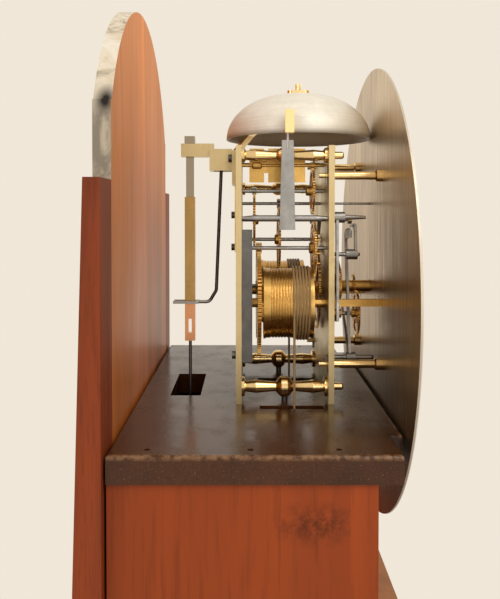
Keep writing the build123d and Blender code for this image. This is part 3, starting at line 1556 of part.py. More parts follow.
with BuildPart() as rack_hook:
    hook_span = (lever_front + hook_gap, lever_front + hook_gap + lever_thickness)
    knee = (rack_hook_place[0] + 3.0, rack_beak_height - 1.0)
    beak = (rack_hook_place[0] + 9.5, rack_beak_height + 1.4)
    add_lever(rack_hook_place, (knee[0], knee[1] + 2.2), 5.0, 4.4, *hook_span)
    add_lever((knee[0] - 1.6, knee[1] + 0.3), beak, 4.4, 2.6, *hook_span)
    add_block(
        (beak[0] - 1.7, beak[0] - 0.1),
        (rack_depth, hook_span[1]),
        (z_at(rack_beak_height), z_at(rack_beak_height + 2.2)),
    )
    add_disc(*rack_hook_place, rack_depth - 4.0, hook_span[1], post_radius + 2.2)
    add_disc(*rack_hook_place, rack_depth - 4.0, hook_span[1], post_radius + running_gap, Mode.SUBTRACT)
save(rack_hook, "rack_hook")

with BuildPart() as lifting_piece:
    lifting_span = (cannon_wheel_depth, cannon_wheel_depth + lever_thickness)
    elbow = (lifting_place[0] - 4.0, lifting_elbow_height)
    toe = (minute_place[0] - lifting_toe_gap, minute_place[1] - 1.0)
    add_lever(lifting_place, elbow, 6.5, 5.0, *lifting_span)
    add_lever((elbow[0] - 2.4, elbow[1]), toe, 5.0, 3.6, *lifting_span)
    hub_span = (front_plate_face + working_gap, front_plate_face + lifting_hub_length - 1.0)
    add_disc(*lifting_place, *hub_span, lifting_post_radius + 2.0)
    add_disc(*lifting_place, *hub_span, lifting_post_radius + running_gap, Mode.SUBTRACT)
save(lifting_piece, "lifting_piece")

# Motion work and hands

cannon_pitch, minute_pitch, minute_module = mesh(centre_place, minute_place, cannon_teeth, minute_teeth)
dial_front = dial_depth + dial_thickness
hour_hand_near = dial_front + hand_lift
minute_hand_near = hour_hand_near + hand_spacing

with BuildPart() as cannon_wheel:
    aim = angle_between(centre_place, minute_place)
    add_wheel(centre_place, cannon_wheel_depth, cannon_teeth, cannon_pitch, minute_module, aim, arms=0)
    add_disc(*centre_place, front_plate_face + working_gap, minute_hand_near, cannon_pipe_radius)
    cannon_bore = centre_arbor_radius + running_gap
    add_disc(*centre_place, front_plate_face, minute_hand_near, cannon_bore, Mode.SUBTRACT)
save(cannon_wheel, "cannon_wheel")

hour_pitch, hour_pinion_pitch, hour_module = mesh(centre_place, minute_place, hour_teeth, minute_leaves)
date_pinion_pitch, date_pitch, date_module = mesh(centre_place, minute_place, date_leaves, date_teeth)

with BuildPart() as minute_wheel:
    aim = angle_between(minute_place, centre_place)
    gap_aim = aim + pi / minute_teeth
    add_wheel(minute_place, cannon_wheel_depth, minute_teeth, minute_pitch, minute_module, gap_aim)
    pinion_span = (cannon_wheel_depth, hour_wheel_depth + wheel_thickness + 0.6)
    add_pinion(minute_place, *pinion_span, minute_leaves, hour_pinion_pitch, hour_module, aim)
    add_disc(*minute_place, *pinion_span, post_radius + running_gap, Mode.SUBTRACT)
save(minute_wheel, "minute_wheel")

with BuildPart() as hour_wheel:
    aim = angle_between(centre_place, minute_place)
    add_wheel(centre_place, hour_wheel_depth, hour_teeth, hour_pitch, hour_module, aim, arms=0)
    low_aim = atan2(tail_fallen[1] - centre_place[1], tail_fallen[0] - centre_place[0])
    sector = 2 * pi / 12
    first_edge = low_aim - sector * rest_minutes / 60
    snail_points = []
    for hour in range(12):
        radius = snail_low if hour == 0 else snail_high + (snail_low - snail_high) * (hour - 1) / 11
        for n in range(snail_points_per_step + 1):
            angle = first_edge + sector * (hour + n / snail_points_per_step)
            snail_points.append((radius * cos(angle), radius * sin(angle)))
    with BuildSketch(facing(hour_wheel_depth + wheel_thickness, *centre_place)) as snail:
        with BuildLine():
            Polyline(*snail_points, close=True)
        make_face()
    extrude(snail.sketch, wheel_thickness)
    add_disc(*centre_place, hour_wheel_depth, hour_hand_near + hand_thickness, hour_pipe_radius)
    with BuildSketch(facing(date_wheel_depth, *centre_place)) as date_pinion:
        with BuildLine():
            aim = angle_between(centre_place, minute_place) + pi / date_leaves
            heights = (0.8 * date_module, 1.25 * date_module)
            Polyline(*gear_outline(date_leaves, date_pinion_pitch, *heights, 0.34, 0.1, aim), close=True)
        make_face()
    extrude(date_pinion.sketch, wheel_thickness)
    hour_span = (hour_wheel_depth, hour_hand_near + hand_thickness)
    add_disc(*centre_place, *hour_span, bridge_pipe_radius + running_gap, Mode.SUBTRACT)
save(hour_wheel, "hour_wheel")

with BuildPart() as date_wheel:
    aim = angle_between(minute_place, centre_place)
    add_wheel(minute_place, date_wheel_depth, date_teeth, date_pitch, date_module, aim)
    add_disc(*minute_place, date_wheel_depth - 3.0, date_wheel_depth + wheel_thickness, post_radius + 1.6)
    date_span = (date_wheel_depth - 3.0, date_wheel_depth + wheel_thickness)
    add_disc(*minute_place, *date_span, post_radius + running_gap, Mode.SUBTRACT)
save(date_wheel, "date_wheel")


def add_hand(place, near, turn, hub, hole, widths, length, tail):
    """A pierced hand with a round boss, a swelling stem and a point, turned clockwise from upright."""
    with BuildSketch(facing(near, *place)) as shape:
        with BuildLine():
            stem, swell = widths
            points = [
                (-stem, -tail),
                (-stem, length * 0.55),
                (-swell, length * 0.66),
                (-stem, length * 0.78),
                (0, length),
                (stem, length * 0.78),
                (swell, length * 0.66),
                (stem, length * 0.55),
                (stem, -tail),
            ]
            angle = radians(-turn)
            turned = [(x * cos(angle) - y * sin(angle), x * sin(angle) + y * cos(angle)) for x, y in points]
            Polyline(*turned, close=True)
        make_face()
        Circle(hub)
        Circle(hole, mode=Mode.SUBTRACT)
    extrude(shape.sketch, hand_thickness)


with BuildPart() as hour_hand:
    hour_turn = rest_minutes / 2
    hub, hole = hour_pipe_radius + 4.0, hour_pipe_radius
    add_hand(centre_place, hour_hand_near, hour_turn, hub, hole, (2.2, 9.0), hour_hand_length, 0)
save(hour_hand, "hour_hand")

with BuildPart() as minute_hand:
    hole = centre_arbor_radius + running_gap
    minute_turn = rest_minutes * 6
    add_hand(centre_place, minute_hand_near, minute_turn, 6.0, hole, (1.8, 6.0), minute_hand_length, 12.0)
    collet_span = (minute_hand_near, minute_hand_near + hand_thickness + 1.4)
    add_disc(*centre_place, *collet_span, cannon_pipe_radius + 1.2)
    add_disc(*centre_place, *collet_span, hole, Mode.SUBTRACT)
save(minute_hand, "minute_hand")

with BuildPart() as seconds_hand:
    hole = seconds_arbor_radius
    add_hand(escape_place, seconds_hand_depth, 0, 2.6, hole, (0.5, 1.3), seconds_hand_length, 9.0)
save(seconds_hand, "seconds_hand")

# Lines, pulleys and weights

pulley_line_radius = pulley_groove_radius + line_radius + running_gap
pulley_z = z_at(-pulley_drop)
for name, place, line_depth in barrels:
    line_x = place[0] - line_hang
    standing_x = line_x + place[0] / abs(place[0]) * 2 * pulley_line_radius
    pulley_x = (line_x + standing_x) / 2
    with BuildPart() as line:
        with BuildLine() as path:
            line_top = z_at(place[1]) - 2 * line_radius - line_joint_gap
            down = Line((line_x, y_at(line_depth), line_top), (line_x, y_at(line_depth), pulley_z))
            ThreePointArc(
                (line_x, y_at(line_depth), pulley_z),
                (pulley_x, y_at(line_depth), pulley_z - pulley_line_radius),
                (standing_x, y_at(line_depth), pulley_z),
            )
            Line((standing_x, y_at(line_depth), pulley_z), (standing_x, y_at(line_depth), seat_bottom))
        with BuildSketch(Plane(origin=path.line @ 0, z_dir=path.line % 0)):
            Circle(line_radius)
        sweep()
    save(line, f"{name}_line")
    print(f"{name} line: {sum(edge.length for edge in path.line.edges()):.0f} mm hanging")

    half = pulley_thickness / 2
    pulley_height = -pulley_drop
    with BuildPart() as pulley:
        add_turning(
            pulley_x,
            pulley_height,
            [
                (line_depth - half, pulley_rim_radius),
                (line_depth - half + 1.4, pulley_rim_radius),
                (line_depth - line_radius, pulley_groove_radius),
                (line_depth + line_radius, pulley_groove_radius),
                (line_depth + half - 1.4, pulley_rim_radius),
                (line_depth + half, pulley_rim_radius),
            ],
        )
        axle_hole = pulley_axle_radius + running_gap
        add_disc(pulley_x, pulley_height, line_depth - half, line_depth + half, axle_hole, Mode.SUBTRACT)
    save(pulley, f"{name}_pulley")

    with BuildPart() as weight:
        cheek = half + working_gap
        outer = cheek + stirrup_thickness
        eye_height = pulley_height - pulley_rim_radius - stirrup_drop
        for side in (-1, 1):
            near, far = sorted((line_depth + side * cheek, line_depth + side * outer))
            add_block(
                (pulley_x - stirrup_half_width, pulley_x + stirrup_half_width),
                (near, far),
                (z_at(eye_height), z_at(pulley_height + stirrup_half_width)),
            )
        add_block(
            (pulley_x - stirrup_half_width, pulley_x + stirrup_half_width),
            (line_depth - outer, line_depth + outer),
            (z_at(eye_height - stirrup_thickness), z_at(eye_height)),
        )
        add_disc(pulley_x, pulley_height, line_depth - outer, line_depth + outer, pulley_axle_radius)
        weight_top = eye_height - stirrup_thickness - hook_length
        add_upright_turning(
            pulley_x, line_depth, [(hook_radius, weight_top), (hook_radius, eye_height - stirrup_thickness)]
        )
        add_upright_turning(
            pulley_x,
            line_depth,
            [
                (weight_radius - 3.0, weight_top - weight_length),
                (weight_radius, weight_top - weight_length + 3.0),
                (weight_radius, weight_top - 3.0),
                (weight_radius - 3.0, weight_top),
            ],
        )
    save(weight, f"{name}_weight")
print(f"weight bottom {z_at(weight_top - weight_length):.0f} mm up; rack falls {rack_fall:.2f} degrees")
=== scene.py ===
from math import cos, pi, radians, sin

import bmesh
import bpy
from bpy.props import FloatProperty, FloatVectorProperty, IntProperty, PointerProperty
from mathutils import Matrix, Vector


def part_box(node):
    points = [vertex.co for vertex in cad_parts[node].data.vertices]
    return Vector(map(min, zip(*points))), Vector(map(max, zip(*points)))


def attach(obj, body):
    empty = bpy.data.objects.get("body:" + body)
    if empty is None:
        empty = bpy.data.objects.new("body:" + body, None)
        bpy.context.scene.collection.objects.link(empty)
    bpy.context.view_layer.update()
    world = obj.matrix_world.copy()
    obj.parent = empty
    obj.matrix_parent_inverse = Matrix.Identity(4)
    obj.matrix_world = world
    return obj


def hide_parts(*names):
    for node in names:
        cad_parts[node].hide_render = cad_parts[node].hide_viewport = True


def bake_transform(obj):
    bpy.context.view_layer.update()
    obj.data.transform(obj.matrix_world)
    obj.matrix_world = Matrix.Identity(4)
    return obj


bl_info = {
    "name": "Longcase Clock",
    "version": (1, 0, 0),
    "blender": (4, 5, 0),
    "location": "3D View > Sidebar > Clock",
    "description": "Woods, metals, line, bell and dial of a longcase clock shown without its hood",
    "category": "Object",
}

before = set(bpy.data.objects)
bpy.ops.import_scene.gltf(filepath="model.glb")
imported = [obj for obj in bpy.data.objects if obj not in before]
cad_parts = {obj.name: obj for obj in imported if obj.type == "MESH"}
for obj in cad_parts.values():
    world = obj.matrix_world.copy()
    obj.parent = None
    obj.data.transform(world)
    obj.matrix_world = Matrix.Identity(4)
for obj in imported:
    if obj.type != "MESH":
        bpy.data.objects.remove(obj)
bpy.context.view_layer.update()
SEAT_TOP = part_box("seat_board")[1][2]
BOARD_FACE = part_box("backboard")[0][1]
DIAL_LOW, DIAL_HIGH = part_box("dial")
DIAL_FRONT = DIAL_LOW[1]
DIAL_CENTRE = Vector((0.0, DIAL_FRONT, (DIAL_LOW[2] + DIAL_HIGH[2]) / 2))
SECONDS_CENTRE = Vector((0, DIAL_FRONT, SEAT_TOP + 0.1409))
TURN_POINTS = 16
BEND_POINTS = 24
HOURS = ("XII", "I", "II", "III", "IIII", "V", "VI", "VII", "VIII", "IX", "X", "XI")
EVEN = (1, 1, 1)
ALONG_X = (0.08, 1, 1)
UP_AND_DOWN = (1, 1, 0.05)
LEVEL = (0.06, 0.06, 1)
TRAIN_WHEELS = ("centre_wheel", "third_wheel", "escape_wheel", "pin_wheel", "pallet_wheel", "warning_wheel")
BARRELS = ("strike_great_wheel", "going_great_wheel", "strike_barrel", "going_barrel", "fly")
MOTION_WHEELS = ("cannon_wheel", "minute_wheel", "hour_wheel", "date_wheel")
POLISHED = (
    *("pillars", "dial_feet", "bell_stand", "going_pulley", "strike_pulley"),
    *("door_hinge_case_leaves", "door_hinge_door_leaves", "door_lock"),
)
STEEL_WORK = ("taper_pins", "front_studs", "rack", "rack_hook", "lifting_piece")
DARK_STEEL = ("steel_screws", "pendulum_rod", "hammer_spring")
HANDS = ("hour_hand", "minute_hand", "seconds_hand")


class CaseSettings(bpy.types.PropertyGroup):
    """Colours of the case's woods."""

    board: FloatVectorProperty(
        name="Backboard",
        description="Varnished face of the backboard",
        subtype="COLOR",
        default=(0.70, 0.235, 0.050),
    )
    mahogany: FloatVectorProperty(
        name="Trunk",
        description="Red-brown trunk wood",
        subtype="COLOR",
        default=(0.285, 0.048, 0.0075),
    )
    throat: FloatVectorProperty(
        name="Throat moulding",
        description="Lighter wood of the moulding under the hood",
        subtype="COLOR",
        default=(0.36, 0.14, 0.045),
    )
    strip: FloatVectorProperty(
        name="Side strips",
        description="Strips beside the backboard",
        subtype="COLOR",
        default=(0.215, 0.037, 0.007),
    )
    seat: FloatVectorProperty(
        name="Seat board",
        description="Dark polished seat board",
        subtype="COLOR",
        default=(0.060, 0.018, 0.0045),
    )
    raw: FloatVectorProperty(
        name="Raw edge",
        description="Pale wood of the arch's edge",
        subtype="COLOR",
        default=(0.62, 0.52, 0.38),
    )


class MovementSettings(bpy.types.PropertyGroup):
    """Colours of the movement's metals."""

    brass: FloatVectorProperty(
        name="Brass", description="Clean turned brass", subtype="COLOR", default=(0.90, 0.66, 0.32)
    )
    golden: FloatVectorProperty(
        name="Wheels",
        description="Golden brass of wheels and barrels",
        subtype="COLOR",
        default=(0.66, 0.40, 0.12),
    )
    plate: FloatVectorProperty(
        name="Plates",
        description="Pale satin brass of the plates",
        subtype="COLOR",
        default=(0.66, 0.52, 0.28),
    )
    steel: FloatVectorProperty(
        name="Steel",
        description="Worked steel of arbors and levers",
        subtype="COLOR",
        default=(0.36, 0.35, 0.34),
    )
    bell: FloatVectorProperty(
        name="Bell", description="Grey bell metal", subtype="COLOR", default=(0.84, 0.78, 0.66)
    )
    bell_wall: FloatProperty(
        name="Bell wall", description="Thickness of the bell", default=0.0022, unit="LENGTH"
    )
    bell_hole: FloatProperty(
        name="Bell hole",
        description="Radius of the hole in the crown",
        default=0.00225,
        unit="LENGTH",
    )
    bell_fullness: FloatProperty(
        name="Bell fullness", description="How full the shoulder is; 1 is an oval", default=0.86
    )
    bell_steps: IntProperty(
        name="Bell steps", description="Rings down the bell's wall", default=18, min=6
    )
    line_hang: FloatProperty(
        name="Line hang",
        description="From a barrel's axis to its line",
        default=0.0259,
        unit="LENGTH",
    )
    line_pitch: FloatProperty(
        name="Line pitch",
        description="How far each turn lies in front of the last",
        default=0.00215,
        unit="LENGTH",
    )
    line_radius: FloatProperty(
        name="Line radius", description="Half the line's thickness", default=0.00085, unit="LENGTH"
    )


class DialSettings(bpy.types.PropertyGroup):
    """Sizes of what is engraved on the dial."""

    minute_ring: FloatProperty(
        name="Minute ring",
        description="Outer radius of the minute ring",
        default=0.150,
        unit="LENGTH",
    )
    hour_ring: FloatProperty(
        name="Hour ring",
        description="Radius through the middle of the hours",
        default=0.122,
        unit="LENGTH",
    )
    hour_height: FloatProperty(
        name="Hour height", description="Height of an hour numeral", default=0.028, unit="LENGTH"
    )
    depth: FloatProperty(
        name="Wax", description="How proud the black wax stands", default=0.0003, unit="LENGTH"
    )
    wax: FloatVectorProperty(
        name="Wax colour", description="Black wax", subtype="COLOR", default=(0.012, 0.011, 0.012)
    )


class StudioSettings(bpy.types.PropertyGroup):
    """The plain room round the clock."""

    wall: FloatVectorProperty(
        name="Wall", description="Pale wall", subtype="COLOR", default=(0.875, 0.80, 0.69)
    )
    floor: FloatVectorProperty(
        name="Floor", description="Pale floor", subtype="COLOR", default=(0.84, 0.79, 0.71)
    )
    key: FloatProperty(name="Key light", description="Watts of the large soft light", default=34.0)
    fill: FloatProperty(
        name="Fill light", description="Watts of the second soft light", default=16.0
    )
    near: FloatProperty(
        name="Near light", description="Watts of the light beside the camera", default=4.5
    )
    room: FloatProperty(
        name="Room light", description="Strength of the light from all round", default=0.55
    )


class Finish:
    """A surface built from nodes that read the piece's own coordinates."""

    def __init__(self, name, roughness, metallic=0.0):
        self.material = bpy.data.materials.new(name)
        self.material.use_nodes = True
        self.nodes = self.material.node_tree.nodes
        self.links = self.material.node_tree.links
        self.shader = self.nodes["Principled BSDF"]
        self.shader.inputs["Roughness"].default_value = roughness
        self.shader.inputs["Metallic"].default_value = metallic
        self.where = self.nodes.new("ShaderNodeTexCoord")

    def put(self, value, socket):
        """Feeds a socket with another node's output, a number or a colour."""
        if hasattr(value, "links"):
            self.links.new(value, socket)
        elif isinstance(value, (int, float)):
            socket.default_value = value
        else:
            socket.default_value = (*value[:3], 1.0) if len(socket.default_value) == 4 else value

    def mapped(self, stretch, shift=(0, 0, 0)):
        """The piece's own coordinates, stretched and shifted."""
        mapping = self.nodes.new("ShaderNodeMapping")
        mapping.inputs["Scale"].default_value = stretch
        mapping.inputs["Location"].default_value = shift
        self.links.new(self.where.outputs["Object"], mapping.inputs["Vector"])
        return mapping.outputs["Vector"]

    def noise(self, stretch, scale, detail, roughness, distortion=0.0):
        """Noise that runs long where stretch is small."""
        node = self.nodes.new("ShaderNodeTexNoise")
        node.inputs["Scale"].default_value = scale
        node.inputs["Detail"].default_value = detail
        node.inputs["Roughness"].default_value = roughness
        node.inputs["Distortion"].default_value = distortion
        self.links.new(self.mapped(stretch), node.inputs["Vector"])
        return node.outputs["Fac"]

    def ramp(self, factor, *stops):
        """Colours along a factor, given as places and colours."""
        node = self.nodes.new("ShaderNodeValToRGB")
        while len(node.color_ramp.elements) < len(stops):
            node.color_ramp.elements.new(0.5)
        for element, (place, colour) in zip(node.color_ramp.elements, stops):
            element.position = place
            element.color = (*colour, 1.0)
        self.put(factor, node.inputs["Fac"])
        return node.outputs["Color"]

    def mix(self, factor, first, second, how="MIX"):
        """Two colours mixed, the second where the factor is 1."""
        node = self.nodes.new("ShaderNodeMix")
        node.data_type = "RGBA"
        node.blend_type = how
        self.put(factor, node.inputs["Factor"])
        colours_a, colours_b = (socket for socket in node.inputs if socket.type == "RGBA")
        self.put(first, colours_a)
        self.put(second, colours_b)
        return next(socket for socket in node.outputs if socket.type == "RGBA")

    def maths(self, how, first, second=0.0):
        """One sum on two values."""
        node = self.nodes.new("ShaderNodeMath")
        node.operation = how
        self.put(first, node.inputs[0])
        self.put(second, node.inputs[1])
        return node.outputs[0]

    def span(self, value, low, high, start=0.0, end=1.0):
        """A value between low and high, carried over to start and end."""
        node = self.nodes.new("ShaderNodeMapRange")
        node.inputs["From Min"].default_value = low
        node.inputs["From Max"].default_value = high
        node.inputs["To Min"].default_value = start
        node.inputs["To Max"].default_value = end
        self.put(value, node.inputs["Value"])
        return node.outputs["Result"]

    def parts(self, of="Object"):
        """X, Y and Z of a place, or of the way that a face looks."""
        node = self.nodes.new("ShaderNodeSeparateXYZ")
        self.links.new(self.where.outputs[of], node.inputs[0])
        return node.outputs

    def spot(self, centre, size, soft=0.6):
        """How near a point is to an oval patch, 1 at its middle."""
        node = self.nodes.new("ShaderNodeVectorMath")
        node.operation = "LENGTH"
        stretch = tuple(1 / each for each in size)
        shift = tuple(-c / each for c, each in zip(centre, size))
        self.links.new(self.mapped(stretch, shift), node.inputs[0])
        return self.span(node.outputs["Value"], 1.0 + soft, 1.0 - soft)

    def bump(self, height, distance, strength):
        """Raises the surface by a height."""
        node = self.nodes.new("ShaderNodeBump")
        node.inputs["Distance"].default_value = distance
        node.inputs["Strength"].default_value = strength
        self.put(height, node.inputs["Height"])
        self.links.new(node.outputs["Normal"], self.shader.inputs["Normal"])

    def done(self, colour, roughness=None):
        """The finished material, with its colour and perhaps its roughness from nodes."""
        self.put(colour, self.shader.inputs["Base Color"])
        if roughness is not None:
            self.put(roughness, self.shader.inputs["Roughness"])
        return self.material


def darker(colour, share):
    """A colour at a share of its brightness."""
    return tuple(c * share for c in colour)


def wood(name, colour, gloss, contrast, figure=14.0, along=UP_AND_DOWN):
    """Straight-grained varnished wood: slow figure, dark pores along the grain and an uneven coat."""
    finish = Finish(name, gloss)
    figured = finish.noise(along, figure, 6, 0.6, 1.4)
    pores = finish.noise(tuple(a if a < 0.5 else 1 for a in along), figure * 22, 3, 0.7)
    slow = finish.noise(EVEN, 3.2, 3, 0.5)
    bright = tuple(min(1, c * 1.35) for c in colour)
    base = finish.ramp(figured, (0.28, darker(colour, 1 - contrast)), (0.5, colour), (0.72, bright))
    base = finish.mix(finish.span(pores, 0.52, 0.7, 0.0, 0.5), base, darker(colour, 0.35))
    base = finish.mix(finish.span(slow, 0.3, 0.75, 0.0, 0.45), base, darker(colour, 0.62))
    finish.bump(pores, 0.00025, 0.5)
    finish.shader.inputs["Specular IOR Level"].default_value = 0.22
    return finish, base, finish.span(slow, 0.3, 0.7, gloss - 0.08, gloss + 0.14)


def metal(name, colour, low, high, brushed, tarnish, scale):
    """Worked metal: brush marks, cloudy tarnish and uneven shine."""
    finish = Finish(name, low, 1.0)
    marks = finish.noise(brushed, scale * 8, 3, 0.6)
    cloud = finish.noise(EVEN, scale, 6, 0.66, 0.6)
    base = finish.mix(finish.span(cloud, 0.35, 0.75, 0.0, tarnish), colour, darker(colour, 0.42))
    base = finish.mix(finish.span(marks, 0.3, 0.7, 0.0, 0.22), base, darker(colour, 0.7))
    finish.bump(marks, 0.00004, 0.35)
    return finish, base, finish.span(cloud, 0.3, 0.75, low, high)


def dress(material, *names):
    """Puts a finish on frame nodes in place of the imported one."""
    for name in names:
        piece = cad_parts[name]
        for slot in piece.material_slots:
            slot.material = material


def dress_plainly(maker, *rows):
    """Dresses pieces in woods or metals as they come; a row is a finish's values and its pieces."""
    for values, names in rows:
        finish, base, shine = maker(*values)
        dress(finish.done(base, shine), *names)


def piece_from(mesh, name, material, body, smooth=True):
    """Makes an object of a bmesh, at the origin, that rides on a body where one is given."""
    data = bpy.data.meshes.new(name)
    mesh.to_mesh(data)
    mesh.free()
    piece = bpy.data.objects.new(name, data)
    bpy.context.collection.objects.link(piece)
    data.materials.append(material)
    for face in data.polygons:
        face.use_smooth = smooth
    if body:
        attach(piece, body)
    return piece


def tube(name, points, radius, material, body, kind="NURBS"):
    """A round line through points, made a mesh."""
    curve = bpy.data.curves.new(name, "CURVE")
    curve.dimensions = "3D"
    curve.bevel_depth = radius
    curve.bevel_resolution = 3
    curve.resolution_u = 6
    curve.use_fill_caps = True
    spline = curve.splines.new(kind)
    spline.points.add(len(points) - 1)
    for spot, point in zip(spline.points, points):
        spot.co = (*point, 1.0)
    if kind == "NURBS":
        spline.order_u = 3
        spline.use_endpoint_u = True
    maker = bpy.data.objects.new(name + "_path", curve)
    bpy.context.collection.objects.link(maker)
    data = bpy.data.meshes.new_from_object(maker.evaluated_get(bpy.context.evaluated_depsgraph_get()))
    bpy.data.objects.remove(maker)
    mesh = bmesh.new()
    mesh.from_mesh(data)
    bpy.data.meshes.remove(data)
    return piece_from(mesh, name, material, body)


class CLOCK_OT_case_woods(bpy.types.Operator):
    """Finish the backboard, the trunk, the base and the door in their woods."""

    bl_idname = "clock.case_woods"
    bl_label = "Case Woods"

    def execute(self, context):
        case = context.scene.clock_case
        finish, base, shine = wood("board_wood", case.board, 0.42, 0.38)
        place = finish.parts()
        facing = finish.parts("Normal")
        # Painted shade: the board is darkened from the top of the dial down to just below the seat board,
        # standing in for the shade that the dial and movement cast on it.
        low = finish.span(place["Z"], SEAT_TOP - 0.05, SEAT_TOP + 0.24, 0.85, 0.0)
        base = finish.mix(low, base, finish.mix(1.0, base, (0.62, 0.42, 0.22), "MULTIPLY"))
        edge = finish.span(finish.maths("ABSOLUTE", facing["Y"]), 0.6, 0.4)
        blotch = finish.noise((1, 1, 0.35), 60, 6, 0.7, 1.5)
        whitest = (0.8, 0.76, 0.66)
        pale = finish.ramp(blotch, (0.3, darker(case.raw, 0.4)), (0.45, case.raw), (0.75, whitest))
        height = finish.span(place["Z"], SEAT_TOP + 0.19, SEAT_TOP + 0.215)
        lower = finish.mix(finish.span(blotch, 0.4, 0.6), darker(case.raw, 0.75), darker(case.raw, 0.35))
        pale = finish.mix(height, lower, pale)
        knot = finish.spot((-0.135, BOARD_FACE + 0.0035, SEAT_TOP + 0.2), (0.012, 0.0045, 0.0075))
        knot = finish.maths("MULTIPLY", knot, finish.span(blotch, 0.3, 0.42))
        pale = finish.mix(knot, pale, (0.012, 0.007, 0.004))
        dress(finish.done(finish.mix(edge, base, pale), shine), "backboard")
        dress_plainly(
            wood,
            (("strip_wood", case.strip, 0.5, 0.6, 34.0), ("backboard_strips",)),
            (("frame_wood", darker(case.mahogany, 1.12), 0.32, 0.3), ("trunk_front_frame",)),
            (("door_wood", case.mahogany, 0.24, 0.5, 7.0), ("trunk_door",)),
            (("base_wood", case.mahogany, 0.3, 0.4, 8.0), ("base_front_panel", "base_sides")),
            (("moulding_wood", case.mahogany, 0.27, 0.3, 14.0, LEVEL), ("base_moulding", "skirting")),
        )
        finish, base, shine = wood("trunk_side_wood", case.mahogany, 0.33, 0.32, 9.0)
        blotch = finish.noise(EVEN, 150, 5, 0.7)
        stain = finish.spot((-0.162, -0.029, SEAT_TOP - 0.039), (0.02, 0.017, 0.0085), 0.7)
        stain = finish.maths("MULTIPLY", stain, finish.span(blotch, 0.38, 0.6, 0.0, 0.85))
        dress(finish.done(finish.mix(stain, base, darker(case.mahogany, 0.2)), shine), "trunk_sides")
        finish, base, shine = wood("throat_wood", case.throat, 0.34, 0.3, along=LEVEL)
        place = finish.parts()
        lip = finish.span(place["Z"], SEAT_TOP - 0.1555, SEAT_TOP - 0.157)
        dress(finish.done(finish.mix(lip, base, darker(case.mahogany, 0.6)), shine), "throat_moulding")
        return {"FINISHED"}


class CLOCK_OT_seat_board(bpy.types.Operator):
    """Finish the seat board: dark polish over a dusty top, worn pale along its arrises."""

    bl_idname = "clock.seat_board"
    bl_label = "Seat Board"

    def execute(self, context):
        case = context.scene.clock_case
        low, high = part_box("seat_board")
        finish, base, _ = wood("seat_wood", case.seat, 0.14, 0.5, 20.0, ALONG_X)
        finish.shader.inputs["Specular IOR Level"].default_value = 0.32
        place = finish.parts()
        rub = finish.noise(EVEN, 260, 5, 0.7)
        side = finish.maths("SUBTRACT", high[0], finish.maths("ABSOLUTE", place["X"]))
        front = finish.maths("SUBTRACT", place["Y"], low[1])
        near = finish.maths("MINIMUM", side, front)
        down = finish.maths("SUBTRACT", high[2], place["Z"])
        arris = finish.span(finish.maths("MAXIMUM", near, down), 0.0032, 0.0012)
        worn = finish.maths("MULTIPLY", arris, finish.span(rub, 0.4, 0.58))
        dust = finish.noise(EVEN, 900, 2, 0.5)
        base = finish.mix(finish.span(dust, 0.62, 0.75, 0.0, 0.5), base, (0.2, 0.13, 0.07))
        base = finish.mix(worn, base, (0.20, 0.10, 0.045))
        finish.bump(finish.noise(EVEN, 420, 4, 0.6), 0.0002, 0.35)
        rough = finish.span(finish.noise(EVEN, 55, 5, 0.65), 0.3, 0.7, 0.12, 0.32)
        dress(finish.done(base, rough), "seat_board")
        return {"FINISHED"}


